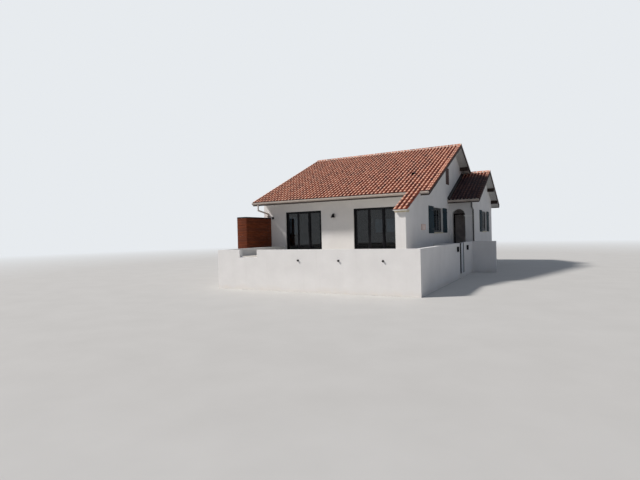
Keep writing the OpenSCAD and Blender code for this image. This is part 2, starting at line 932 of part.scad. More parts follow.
// A sliding sash over the middle of a doorway, with the runners under it
module sliding_sash(x, w) {
    start = x + slide_frame + sash_pitch(w) - sash_lap;
    width = sash_width(w);
    sash(start, outer_track, width, sash_low, sash_height);
    for (at = [start + runner_in, start + width - runner_in - runner_l])
        block([at, outer_track + sash_t / 4, floor_z + slide_frame + slip],
              [at + runner_l, outer_track + sash_t * 3 / 4, sash_low + fuse]);
}

module left_sash() {
    color(frame_black) at_house()
        sliding_sash(-left_slide_x, left_slide_w);
}

module left_sash_glass() {
    color(pane_blue) at_house()
        sash_pane(-left_slide_x + slide_frame + sash_pitch(left_slide_w) - sash_lap, outer_track,
                  sash_width(left_slide_w), sash_low, sash_height);
}

module right_sash() {
    color(frame_black) at_house()
        sliding_sash(-right_slide_x, right_slide_w);
}

module right_sash_glass() {
    color(pane_blue) at_house()
        sash_pane(-right_slide_x + slide_frame + sash_pitch(right_slide_w) - sash_lap, outer_track,
                  sash_width(right_slide_w), sash_low, sash_height);
}

// Casement windows: a frame with a middle post
module window_frames() {
    color(frame_black) at_house()
        for (place = window_places)
            at_window(place)
                translate([0, window_setback, 0]) {
                    frame_bars(window_w, window_h, window_depth, window_bar, window_bar);
                    translate([window_w / 2 - window_bar / 2, 0, window_bar])
                        cube([window_bar, window_depth, window_h - 2 * window_bar]);
                }
}

module window_glass() {
    pane_w = (window_w - 3 * window_bar) / 2;
    color(pane_blue) at_house()
        for (place = window_places)
            at_window(place)
                for (i = [0, 1])
                    translate([window_bar + i * (pane_w + window_bar),
                               window_setback + (window_depth - glass_t) / 2, window_bar])
                        cube([pane_w, glass_t, window_h - 2 * window_bar]);
}

// A ledged shutter leaf, opened flat against the wall
module shutter_leaf() {
    translate([0, -shutter_t, 0])
        cube([shutter_w, shutter_t, shutter_h]);
    for (z = [ledge_end, shutter_h - ledge_end - ledge_h])
        translate([ledge_side, -shutter_t - ledge_t, z])
            cube([shutter_w - 2 * ledge_side, ledge_t, ledge_h]);
}

module shutters() {
    color(shutter_blue) at_house()
        for (place = window_places)
            at_window(place)
                for (x = [-shutter_gap - shutter_w, window_w + shutter_gap])
                    translate([x, 0, -shutter_drop])
                        shutter_leaf();
}

// Closed shutters in the attic openings
module attic_shutters() {
    color(timber_dark) at_house()
        for (place = attic_places)
            at_attic(place)
                translate([0, attic_setback, 0])
                    cube([attic_w, shutter_t, attic_h]);
}

// Front wall of the terrace, lowered to the floor's level at the way out
module terrace_front_wall() {
    color(render_white) at_house()
        difference() {
            block([-terrace_left, -terrace_d, 0], [wing_w, -terrace_d + terrace_t, terrace_h]);
            block([-terrace_left + gap_x, -terrace_d - cut, floor_z],
                  [-terrace_left + gap_x + gap_w, -terrace_d + terrace_t + cut, terrace_h + cut]);
            for (i = [0 : spout_n - 1])
                at_spout(i)
                    translate([0, cut, 0])
                        rotate([90, 0, 0])
                            cylinder(r = spout_r, h = terrace_t + spout_out + 2 * cut);
        }
}

// The drain spouts run from the wall's inner face out over the beach
module at_spout(i) {
    translate([-spout_x - i * spout_pitch, -terrace_d + terrace_t, floor_z - spout_drop])
        children();
}

module drain_spouts() {
    color(frame_black) at_house()
        for (i = [0 : spout_n - 1])
            at_spout(i)
                rotate([90, 0, 0])
                    difference() {
                        cylinder(r = spout_r, h = terrace_t + spout_out);
                        translate([0, 0, -1])
                            cylinder(r = spout_r - spout_t, h = terrace_t + spout_out + 2);
                    }
}

// Side wall of the terrace on both sides of the gateway, joined by its sill
module terrace_side_wall() {
    color(render_white) at_house() {
        block([gate_x, -terrace_d + terrace_t, 0], [wing_w, gate_y, terrace_h]);
        block([gate_x, gate_y + gate_w, 0], [wing_w, wing_front, terrace_h]);
        block([gate_x, gate_y - fuse, 0], [wing_w + gate_sill_out, gate_y + gate_w + fuse, gate_sill]);
    }
}

// The terrace's left wall, the wall behind the gateway and the return beside the porch
module terrace_end_walls() {
    return_back = wing_front - return_step;
    color(render_white) at_house() {
        block([-terrace_left, -terrace_d + terrace_t, 0], [-terrace_left + terrace_t, 0, terrace_h]);
        block([0, gate_y - terrace_t, 0], [gate_x, gate_y, terrace_h]);
        block([wing_w, return_back - terrace_t, 0], [wing_w + return_len, return_back, terrace_h]);
    }
}

// Raised floor of the terrace, round the spur wall and along the gable
module terrace_floor() {
    inner_y = -terrace_d + terrace_t;
    inner_left = -terrace_left + terrace_t;
    color(slab_grey) at_house()
        linear_extrude(terrace_floor_z)
            polygon([[inner_left, inner_y], [gate_x, inner_y], [gate_x, gate_y - terrace_t],
                     [0, gate_y - terrace_t], [0, -spur_len], [-spur_t, -spur_len], [-spur_t, 0],
                     [inner_left, 0]]);
}

// Garden gate: hung on the far post, it opens inwards
gate_leaf_w = gate_w - 2 * gate_post - 2 * leaf_gap;
gate_leaf_y = gate_y + gate_post + leaf_gap;
gate_leaf_x = gate_x + gate_set;
gate_hinge = [gate_leaf_x - hinge_out, gate_y + gate_w - gate_post - leaf_gap / 2];
gate_low = gate_sill + gate_foot_gap;
gate_top = terrace_h - gate_top_gap;
gate_hinges = [gate_low + low_hinge, gate_top - high_hinge];

module garden_gate() {
    panel_x = gate_leaf_x + gate_t - panel_sink;
    color("#c9d3da") at_house() {
        difference() {
            block([gate_leaf_x, gate_leaf_y, gate_low],
                  [gate_leaf_x + gate_t, gate_leaf_y + gate_leaf_w, gate_top]);
            block([panel_x, gate_leaf_y + gate_rail, gate_low + gate_rail],
                  [gate_leaf_x + gate_t + cut, gate_leaf_y + gate_leaf_w - gate_rail, gate_top - gate_rail]);
        }
        translate([gate_hinge[0], gate_hinge[1], 0])
            knuckles([for (z = gate_hinges) z + knuckle_h + slip]);
        for (z = gate_hinges)
            block([gate_hinge[0], gate_hinge[1] - gate_rail, z + knuckle_h + slip],
                  [gate_leaf_x, gate_hinge[1], z + 2 * knuckle_h + slip]);
    }
}

// The near post stands out of the wall, and the far one carries the hinges
module gate_posts() {
    post_x = gate_leaf_x;
    far_y = gate_y + gate_w - gate_post;
    color(frame_black) at_house() {
        block([post_x, gate_y, gate_sill], [wing_w + gate_post_out, gate_y + gate_post, terrace_h]);
        block([post_x, far_y, gate_sill], [post_x + gate_post, far_y + gate_post, terrace_h]);
        translate([gate_hinge[0], gate_hinge[1], 0])
            knuckles(gate_hinges);
        for (z = gate_hinges)
            block([gate_hinge[0], gate_hinge[1], z],
                  [post_x, gate_hinge[1] + gate_post - leaf_gap, z + knuckle_h]);
    }
}

// Timber screen against the left of the front wall, with a flat top
module timber_screen() {
    x0 = -screen_x - screen_w;
    x1 = -screen_x;
    top = floor_z + screen_h;
    low = terrace_floor_z;
    color("#7a3f28") at_house() {
        block([x0, -screen_d, low], [x1, -screen_d + screen_t, top]);
        block([x0, -screen_d, low], [x0 + screen_t, 0, top]);
        block([x1 - screen_t, -screen_d, low], [x1, 0, top]);
        difference() {
            block([x0, -screen_d, top - screen_t], [x1, 0, top]);
            block([-left_pipe_x - bend_r, -2 * bend_r, top - screen_t - cut],
                  [-left_pipe_x + bend_r, cut, top + cut]);
        }
    }
}

// A tapered shade on an arm from the wall
module cone_lamp() {
    arm = 40;
    translate([0, -cone_r, 0]) {
        cylinder(r1 = cone_r, r2 = cone_r / 3, h = cone_h - arm / 2);
        translate([-arm / 2, 0, cone_h - arm])
            cube([arm, cone_r, arm]);
    }
}

// A small round spotlight on a square base
module spotlight() {
    depth = spot_base / 4;
    translate([-spot_base / 2, -depth, -spot_base / 2])
        cube([spot_base, depth, spot_base]);
    can_r = spot_base * 0.4;
    can_h = spot_base * 1.3;
    translate([0, -depth - can_r * 0.9, -can_h / 2])
        cylinder(r = can_r, h = can_h);
}

// A box lamp on the outer face of the terrace's side wall
module gate_lamp() {
    depth = gate_lamp_w * 0.75;
    translate([0, -gate_lamp_w / 2, -gate_lamp_h])
        cube([depth, gate_lamp_w, gate_lamp_h]);
}

// Black wall lamps: a cone between the doors, a spotlight and two boxes at the gate
module wall_lamps() {
    color(frame_black) at_house() {
        translate([-left_slide_x + left_slide_w + cone_gap, 0, floor_z + cone_z])
            cone_lamp();
        translate([-house_w + spot_in, 0, floor_z + spot_z])
            spotlight();
        for (y = [gate_y - near_lamp_gap, gate_y + gate_w + far_lamp_gap])
            translate([wing_w, y, terrace_h - gate_lamp_drop])
                gate_lamp();
    }
}

// Hooded vent among the tiles of the front slope
module roof_vent() {
    low = vent_y - vent_len / 2;
    high = vent_y + vent_len / 2;
    color(frame_black) at_house()
        along_x(-vent_x - vent_w / 2, -vent_x + vent_w / 2)
            polygon([[low, main_top(low) - tile_rise], [high, main_top(high) - tile_rise],
                     [low, main_top(low) + vent_h]]);
}

house_plinth();
house_floor();
wing_floor();
front_wall_piers();
front_wall_head();
spur_wall();
moulded_caps();
gable_wall();
left_gable_wall();
back_wall();
wing_gable_wall();
porch_arch_wall();
porch_piers();
entrance_head();
entrance_frame();
entrance_door();
main_roof_front();
main_roof_back();
wing_roof_front();
wing_roof_back();
ridge_tiles();
purlins();
verge_boards();
gutters();
downpipes();
sliding_frames();
fixed_glass();
left_sash();
left_sash_glass();
right_sash();
right_sash_glass();
window_frames();
window_glass();
shutters();
attic_shutters();
terrace_front_wall();
terrace_side_wall();
terrace_end_walls();
terrace_floor();
garden_gate();
gate_posts();
timber_screen();
wall_lamps();
drain_spouts();
roof_vent();
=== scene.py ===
# Looks of the beach house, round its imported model: clay tiles, boarded shutters,
# casements, door furniture, lamps and every finish. Metres; X runs along the ridge
# to the right gable, Y from front to back and Z up from the level that it rests on.
import math

import bpy
from mathutils import Matrix, Vector


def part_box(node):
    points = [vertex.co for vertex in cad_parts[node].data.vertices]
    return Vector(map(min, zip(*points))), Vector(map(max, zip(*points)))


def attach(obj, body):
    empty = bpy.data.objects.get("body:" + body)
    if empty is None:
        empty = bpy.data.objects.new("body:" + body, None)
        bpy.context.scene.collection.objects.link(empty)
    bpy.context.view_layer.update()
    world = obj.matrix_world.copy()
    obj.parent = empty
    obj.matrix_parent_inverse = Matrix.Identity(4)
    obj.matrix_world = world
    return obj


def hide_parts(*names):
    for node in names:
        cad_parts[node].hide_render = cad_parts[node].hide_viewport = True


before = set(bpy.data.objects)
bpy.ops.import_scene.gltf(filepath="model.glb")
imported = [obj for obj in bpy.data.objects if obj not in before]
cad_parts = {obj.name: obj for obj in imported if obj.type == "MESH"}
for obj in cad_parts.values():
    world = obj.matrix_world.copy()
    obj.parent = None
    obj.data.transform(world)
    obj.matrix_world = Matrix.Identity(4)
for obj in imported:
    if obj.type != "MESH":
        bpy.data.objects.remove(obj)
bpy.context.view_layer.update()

# Roof
EAVE_Y = 7.356
EAVE_Z = 4.080
RIDGE_Z = 7.285
SLOPE = math.atan((RIDGE_Z - EAVE_Z) / EAVE_Y)
COS, SIN, TAN = math.cos(SLOPE), math.sin(SLOPE), math.tan(SLOPE)
TILE_RISE = 0.060
BOARDING_Z = EAVE_Z - TILE_RISE
VERGE_LEFT = -4.535
VERGE_RIGHT = 4.940
COLUMNS, COURSES = 48, 23
COLUMN = 0.19740
COURSE = 0.34885

WING_VERGE = 6.095
WING_RIDGE_Y = 2.965
WING_RIDGE_Z = 5.993
PORCH_EAVE_Y = -1.545
PORCH_EAVE_Z = 4.028
PORCH_BOARDING_Z = PORCH_EAVE_Z - TILE_RISE
CEILING_DROP = 0.205
UNDER_MAIN_VERGE_Y = 2.700
WING_COLUMNS, WING_COURSES = 6, 14
COLUMNS_UNDER_VERGE = 3
WING_COLUMN = (WING_VERGE - VERGE_RIGHT) / WING_COLUMNS
WING_COURSE = (WING_RIDGE_Y - PORCH_EAVE_Y) / COS / WING_COURSES
WING_FIRST_X = VERGE_RIGHT - COLUMNS_UNDER_VERGE * WING_COLUMN

STRIP_LEFT = 3.953
STRIP_END_Y = -9.335
STRIP_COLUMNS, STRIP_COURSES = 3, 6
STRIP_COURSE = (-EAVE_Y - STRIP_END_Y) / COS / STRIP_COURSES
STRIP_BOARDING_Z = EAVE_Z + (STRIP_END_Y + EAVE_Y) * TAN - TILE_RISE

RIDGE_R = 0.115
RIDGE_CAPS, WING_RIDGE_CAPS = 25, 3
RIDGE_SINK = TILE_RISE + TAN * 0.095
GUTTER_R = 0.065
GUTTER_SIDE = 0.045
GUTTER_DROP = TILE_RISE + 0.020 + GUTTER_SIDE

# Walls
GABLE_X = 4.425
WING_X = 5.655
FRONT_Y = -6.5
BACK_Y = 6.5
FLOOR_Z = 1.35
SILL_Z = 2.20
WINDOW_W, WINDOW_H = 1.94, 1.25
WINDOW_SETBACK = 0.09
WINDOW_BAR = 0.060
SHUTTER_W, SHUTTER_H, SHUTTER_T = 0.89, 1.31, 0.030
LEDGE_T, LEDGE_H = 0.020, 0.09
ATTIC_LEAF_W, ATTIC_LEAF_H = 0.414, 0.924
PORCH_WALL_Y = -0.095
ENTRANCE_W = 0.98
DOOR_HEAD_Z = 3.26
TERRACE_FRONT = FRONT_Y - 5.020

# Timber screen
SCREEN_X0, SCREEN_X1 = -4.565, -3.975
SCREEN_DEPTH = 2.160
SCREEN_FRONT = FRONT_Y - SCREEN_DEPTH
SCREEN_Z = 1.34
SCREEN_TOP = 3.220
CAPPING_H = 0.060
BOARD_COUNT = 14
BOARD_PITCH = (SCREEN_TOP - CAPPING_H - SCREEN_Z) / BOARD_COUNT

# Light and camera
BACKDROP = (0.80, 0.83, 0.86, 1)
FILL_COLOUR = (0.66, 0.78, 1.0, 1)
FILL_STRENGTH = 0.22
SUN_STRENGTH = 3.52
SUN_COLOUR = (1.0, 0.955, 0.91)
SUN_TOWARDS = (0.60, 0.40, -0.69)
SUN_SOFTNESS = 7
CAMERA_PLACE = (9.8186, -26.252, 2.2365)
CAMERA_YAW, CAMERA_PITCH, CAMERA_ROLL = 28.64, -0.70, -1.43
SENSOR_W, LENS = 36, 24.67


def at(x, y, z):
    return Matrix.Translation((x, y, z))


def at_wall(x, y, z, degrees):
    """Stands at a point of a wall: X along the wall, Y into it."""
    return at(x, y, z) @ Matrix.Rotation(math.radians(degrees), 4, "Z")


WINDOWS = (
    at_wall(GABLE_X, -4.75, SILL_Z, 90),
    at_wall(WING_X, 2.18, SILL_Z, 90),
    at_wall(-GABLE_X, -2.81, SILL_Z, -90),
    at_wall(-1.13, BACK_Y, SILL_Z, 180),
    at_wall(3.07, BACK_Y, SILL_Z, 180),
)
ATTICS = (
    at_wall(GABLE_X, -1.90, 4.82, 90),
    at_wall(-GABLE_X, -1.06, 4.82, -90),
)


# Modelling

def clear_selection():
    if bpy.context.object is not None and bpy.context.object.mode != "OBJECT":
        bpy.ops.object.mode_set(mode="OBJECT")
    bpy.ops.object.select_all(action="DESELECT")


def take_up(*parts):
    """Selects these objects alone, the first as the active one."""
    clear_selection()
    for part in parts:
        part.select_set(True)
    bpy.context.view_layer.objects.active = parts[0]


def settle(part):
    """Applies the part's place, turn and size to its mesh."""
    take_up(part)
    bpy.ops.object.transform_apply(location=True, rotation=True, scale=True)
    return part


def placed(part, matrix):
    """Moves a part by a matrix and settles it there."""
    part.matrix_world = matrix
    return settle(part)


def joined(parts):
    take_up(*parts)
    if len(parts) > 1:
        bpy.ops.object.join()
    return bpy.context.object


def copies_at(part, places):
    """The part and its copies, each with its own mesh, at these places."""
    copies = [part]
    while len(copies) < len(places):
        take_up(part)
        bpy.ops.object.duplicate(linked=False)
        copies.append(bpy.context.object)
    return [placed(copy, place) for copy, place in zip(copies, places)]


def set_out(part, places):
    """The part and its copies at these places, as one part."""
    return joined(copies_at(part, places))


def block(low, high):
    """A block between two corners, ready to be shaped."""
    low, high = Vector(low), Vector(high)
    clear_selection()
    bpy.ops.mesh.primitive_cube_add(size=1, location=(low + high) / 2)
    part = bpy.context.object
    part.scale = high - low
    return settle(part)


def rod(start, end, radius, sides=16, closed=True):
    """A round bar or, when it isn't closed, a tube wall between two points."""
    start, end = Vector(start), Vector(end)
    clear_selection()
    bpy.ops.mesh.primitive_cylinder_add(
        vertices=sides, radius=radius, depth=(end - start).length,
        end_fill_type="NGON" if closed else "NOTHING", location=(start + end) / 2)
    part = bpy.context.object
    part.rotation_mode = "QUATERNION"
    part.rotation_quaternion = (end - start).to_track_quat("Z", "Y")
    settle(part)
    part.rotation_mode = "XYZ"
    return part


def pick(part, kind, chosen):
    """Goes into edit mode with only the chosen points or faces selected."""
    take_up(part)
    bpy.ops.object.mode_set(mode="EDIT")
    bpy.ops.mesh.select_mode(type=kind)
    bpy.ops.mesh.select_all(action="DESELECT")
    bpy.ops.object.mode_set(mode="OBJECT")
    for item in part.data.vertices if kind == "VERT" else part.data.polygons:
        item.select = chosen(item)
    bpy.ops.object.mode_set(mode="EDIT")


def pick_points(part, test):
    """Picks the points for which test(place) holds."""
    pick(part, "VERT", lambda point: test(point.co))


def pick_faces(part, test):
    """Picks the faces for which test(normal) holds."""
    pick(part, "FACE", lambda face: test(face.normal))


def leave_edit():
    bpy.ops.object.mode_set(mode="OBJECT")


def moved(part, test, shift):
    """Moves the points for which test(place) holds."""
    pick_points(part, test)
    bpy.ops.transform.translate(value=shift)
    leave_edit()
    return part


def resized(part, test, factors, centre=(0, 0, 0)):
    """Draws the points for which test(place) holds nearer to a centre."""
    pick_points(part, test)
    bpy.ops.transform.resize(value=factors, center_override=centre)
    leave_edit()
    return part


def sunk(part, test, *steps, **how):
    """Insets the faces for which test(normal) holds, step by step in thickness and depth."""
    pick_faces(part, test)
    for thickness, depth in steps:
        bpy.ops.mesh.inset(thickness=thickness, depth=depth, **how)
    leave_edit()
    return part


def pierced(part, test, rim, **how):
    """Opens a hole between two faces and leaves a rim round it."""
    pick_faces(part, test)
    bpy.ops.mesh.inset(thickness=rim, depth=0, **how)
    bpy.ops.mesh.bridge_edge_loops()
    leave_edit()
    return part


def cut_off(part, place, normal, closed=True):
    """Cuts off what lies on the normal's side of a plane, and closes the cut or leaves it open."""
    pick_points(part, lambda co: True)
    bpy.ops.mesh.bisect(plane_co=place, plane_no=normal, use_fill=closed, clear_outer=True)
    leave_edit()
    return part


def with_modifier(part, kind, **settings):
    """Adds a modifier with these settings and applies it."""
    take_up(part)
    bpy.ops.object.modifier_add(type=kind)
    modifier = part.modifiers[-1]
    for name, value in settings.items():
        setattr(modifier, name, value)
    bpy.ops.object.modifier_apply(modifier=modifier.name)
    return part


def softened(part, width, segments=2):
    return with_modifier(part, "BEVEL", width=width, segments=segments, limit_method="ANGLE")


def thickened(part, thickness):
    """Gives a sheet its thickness on the side away from its face."""
    return with_modifier(part, "SOLIDIFY", thickness=thickness, offset=-1.0, use_even_offset=True)


def repeated(part, count, step, merge=False):
    return with_modifier(
        part, "ARRAY", count=count, use_relative_offset=False, use_constant_offset=True,
        constant_offset_displace=step, use_merge_vertices=merge, merge_threshold=0.0002)


def framed(low, high, bar):
    """A rectangular ring of bars, whose opening faces along Y."""
    return pierced(block(low, high), lambda normal: abs(normal.y) > 0.9, bar)


def profiled_sheet(points, length):
    """A sheet from Y = 0, whose section in X and Z runs through the points."""
    (x0, z0), (x1, z1) = points[:2]
    middle = (x0 + x1) / 2
    clear_selection()
    bpy.ops.mesh.primitive_plane_add(size=1, location=(middle, length / 2, z0))
    part = bpy.context.object
    part.scale = (x1 - x0, length, 1)
    settle(part)
    rising = x1 > x0
    pick_points(part, lambda co: (co.x > middle) == rising)
    bpy.ops.transform.translate(value=(0, 0, z1 - z0))
    for (xa, za), (xb, zb) in zip(points[1:], points[2:]):
        bpy.ops.mesh.extrude_region_move(
            TRANSFORM_OT_translate={"value": (xb - xa, 0, zb - za)})
    leave_edit()
    return part


def finished(part, name, finish, smooth, body="house", stands_for=()):
    """Names a piece, gives it its finish and lets it ride on its body."""
    take_up(part)
    bpy.ops.object.shade_smooth_by_angle(angle=math.radians(smooth))
    part.name = name
    part.data.name = name
    part.data.materials.clear()
    part.data.materials.append(finish)
    for face in part.data.polygons:
        face.material_index = 0
    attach(part, body)
    if stands_for:
        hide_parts(*stands_for)


# Finishes

class Nodes:
    """Short calls for the nodes of one tree."""

    def __init__(self, tree):
        self.tree = tree

    def node(self, kind, values=(), **settings):
        made = self.tree.nodes.new(kind)
        for name, value in settings.items():
            setattr(made, name, value)
        for key, value in dict(values).items():
            self.feed(made.inputs[key], value)
        return made

    def feed(self, socket, value):
        if isinstance(value, bpy.types.NodeSocket):
            self.tree.links.new(value, socket)
        else:
            socket.default_value = value

    def math(self, operation, a, b=0.0, c=0.0):
        return self.node("ShaderNodeMath", {0: a, 1: b, 2: c}, operation=operation).outputs[0]

    def sees_backdrop(self):
        """1 for rays from the camera, through glass or off a glossy face."""
        path = self.node("ShaderNodeLightPath").outputs
        seen = self.math("MAXIMUM", path["Is Camera Ray"], path["Is Transmission Ray"])
        return self.math("MAXIMUM", seen, path["Is Glossy Ray"])

    def surface_of(self, share, first, second):
        """Makes a mix of two shaders the surface of the tree's output."""
        mix = self.node("ShaderNodeMixShader", {0: share, 1: first, 2: second})
        output = next(n for n in self.tree.nodes if n.type.startswith("OUTPUT"))
        self.feed(output.inputs["Surface"], mix.outputs["Shader"])


class Finish(Nodes):
    """A node material on Object coordinates."""

    def __init__(self, name, roughness=0.6, **settings):
        self.material = bpy.data.materials.new(name)
        self.material.use_nodes = True
        super().__init__(self.material.node_tree)
        self.shader = self.tree.nodes["Principled BSDF"]
        self.shader.inputs["Roughness"].default_value = roughness
        for socket, value in settings.items():
            self.shader.inputs[socket.replace("_", " ")].default_value = value
        self.place = self.node("ShaderNodeTexCoord").outputs["Object"]

    def stretched(self, scale):
        """Object coordinates with their own scale on each axis."""
        mapped = self.node("ShaderNodeMapping", {"Vector": self.place, "Scale": scale})
        return mapped.outputs["Vector"]

    def axis(self, name, place=None):
        parts = self.node("ShaderNodeSeparateXYZ", {"Vector": place or self.place})
        return parts.outputs[name]

    def facing(self, name):
        """How far the face looks along an axis."""
        return self.axis(name, self.node("ShaderNodeNewGeometry").outputs["Normal"])

    def noise(self, scale, detail=3.0, rough=0.55, place=None):
        return self.node("ShaderNodeTexNoise", {
            "Vector": place or self.place, "Scale": scale, "Detail": detail, "Roughness": rough,
        }).outputs["Fac"]

    def grain(self, scale, detail, rough):
        """Noise drawn out along the axis with the smallest scale."""
        return self.noise(1.0, detail, rough, self.stretched(scale))

    def own_share(self, x, y, z=0.0):
        """A random share that is the same for all with these three numbers."""
        seed = self.node("ShaderNodeCombineXYZ", {"X": x, "Y": y, "Z": z}).outputs["Vector"]
        random = self.node("ShaderNodeTexWhiteNoise", {"Vector": seed}, noise_dimensions="3D")
        return random.outputs["Value"]

    def between(self, value, low, high, to_low=0.0, to_high=1.0):
        """The value from low to high, spread over another range and held at its ends."""
        return self.node("ShaderNodeMapRange", {
            "Value": value, "From Min": low, "From Max": high, "To Min": to_low, "To Max": to_high,
        }, clamp=True).outputs["Result"]

    def steps(self, value, *stops):
        """One colour from each stop up to the next."""
        ramp = self.node("ShaderNodeValToRGB", {"Fac": value})
        band = ramp.color_ramp
        band.interpolation = "CONSTANT"
        while len(band.elements) < len(stops):
            band.elements.new(0.5)
        for element, (position, colour) in zip(band.elements, stops):
            element.position = position
            element.color = (*colour, 1)
        return ramp.outputs["Color"]

    def mixed(self, share, first, second, blend="MIX"):
        mix = self.node("ShaderNodeMix", data_type="RGBA", blend_type=blend)
        self.feed(mix.inputs["Factor"], share)
        for key, value in (("A", first), ("B", second)):
            socket = next(s for s in mix.inputs if s.name == key and s.type == "RGBA")
            self.feed(socket, value if isinstance(value, bpy.types.NodeSocket) else (*value, 1))
        return next(s for s in mix.outputs if s.type == "RGBA")

    def coloured(self, colour, roughness=None):
        self.feed(self.shader.inputs["Base Color"], colour)
        if roughness is not None:
            self.feed(self.shader.inputs["Roughness"], roughness)

    def bumped(self, height, distance, strength=1.0, below=None):
        """Adds relief to the shader, over an earlier relief if one is given."""
        bump = self.node("ShaderNodeBump", {
            "Height": height, "Distance": distance, "Strength": strength})
        if below is not None:
            self.feed(bump.inputs["Normal"], below)
        self.feed(self.shader.inputs["Normal"], bump.outputs["Normal"])
        return bump.outputs["Normal"]


def render_finish():
    """Fine white masonry render: trowelled, a little streaked, stained at its foot."""
    f = Finish("white_render", 0.9)
    mottle = f.between(f.noise(1.3, 4), 0.35, 0.68)
    white = f.mixed(mottle, (0.775, 0.760, 0.745), (0.83, 0.815, 0.80))
    streaks = f.between(f.grain((7, 7, 0.45), 5, 0.6), 0.58, 0.80, 0.0, 0.16)
    white = f.mixed(streaks, white, (0.60, 0.58, 0.54))
    foot = f.math("MULTIPLY", f.between(f.axis("Z"), 0.02, 0.45, 1.0, 0.0), f.noise(2.6, 4))
    f.coloured(f.mixed(f.between(foot, 0.25, 0.75, 0.0, 0.42), white, (0.66, 0.58, 0.47)))
    trowel = f.bumped(f.noise(3.0, 3), 0.012, 0.35)
    f.bumped(f.noise(130, 3, 0.7), 0.0022, 0.6, trowel)
    return f.material


def stone_finish():
    """Cream stone, and the whitewashed impost beside the porch arch."""
    f = Finish("cream_stone", 0.85)
    tone = f.mixed(f.between(f.noise(9, 4), 0.3, 0.7), (0.60, 0.54, 0.40), (0.72, 0.66, 0.52))
    tone = f.mixed(f.between(f.noise(60, 2), 0.55, 0.8, 0, 0.25), tone, (0.48, 0.43, 0.33))
    at_porch = f.math("MULTIPLY", f.math("GREATER_THAN", f.axis("X"), GABLE_X + 0.2),
                      f.math("LESS_THAN", f.axis("Y"), PORCH_EAVE_Y + 0.7))
    f.coloured(f.mixed(at_porch, tone, (0.86, 0.85, 0.83)))
    f.bumped(f.noise(90, 4), 0.002, 0.7)
    return f.material


def paving_finish():
    """Square slabs with joints where the floor faces up, cast concrete elsewhere."""
    f = Finish("pale_paving", 0.75)
    slab_side = 0.6
    joints = f.node("ShaderNodeTexBrick", {
        "Vector": f.place, "Color1": (0, 0, 0, 1), "Color2": (1, 1, 1, 1),
        "Mortar": (0.5, 0.5, 0.5, 1), "Scale": 1.0, "Mortar Size": 0.004, "Mortar Smooth": 0.2,
        "Brick Width": slab_side, "Row Height": slab_side}, offset=0.0)
    speckle = f.mixed(
        f.between(f.noise(45, 5, 0.7), 0.3, 0.7), (0.55, 0.52, 0.47), (0.66, 0.63, 0.58))
    slab = f.mixed(f.math("MULTIPLY", joints.outputs["Color"], 0.16), speckle, (0.78, 0.74, 0.67))
    faces_up = f.math("GREATER_THAN", f.facing("Z"), 0.5)
    line = f.math("MULTIPLY", joints.outputs["Fac"], faces_up)
    f.coloured(f.mixed(line, slab, (0.33, 0.31, 0.28)))
    sunk_joints = f.bumped(f.math("SUBTRACT", 1.0, line), 0.003)
    f.bumped(f.noise(160, 3), 0.0012, 0.5, sunk_joints)
    return f.material


CLAY_TONES = (
    (0.00, (0.35, 0.086, 0.040)), (0.17, (0.47, 0.142, 0.068)), (0.34, (0.22, 0.050, 0.028)),
    (0.50, (0.56, 0.190, 0.105)), (0.64, (0.39, 0.105, 0.052)), (0.78, (0.70, 0.310, 0.200)),
    (0.90, (0.15, 0.038, 0.025)))


def clay(f, own_share):
    """Weathered clay: a tone of its own for each tile, with flashing, bloom and lichen."""
    tone = f.steps(own_share, *CLAY_TONES)
    flashing = f.between(f.noise(17, 4), 0.45, 0.72, 0.0, 0.5)
    tone = f.mixed(flashing, tone, (0.22, 0.065, 0.040))
    bloom = f.between(f.noise(13, 5, 0.65), 0.52, 0.74, 0.0, 0.35)
    tone = f.mixed(bloom, tone, (0.74, 0.37, 0.24))
    lichen = f.between(f.noise(34, 6, 0.7), 0.62, 0.74, 0.0, 0.4)
    tone = f.mixed(lichen, tone, (0.46, 0.40, 0.30))
    f.coloured(tone, f.between(f.noise(30, 2), 0.3, 0.7, 0.68, 0.9))
    f.bumped(f.noise(75, 5, 0.7), 0.0025, 0.7)
    return tone


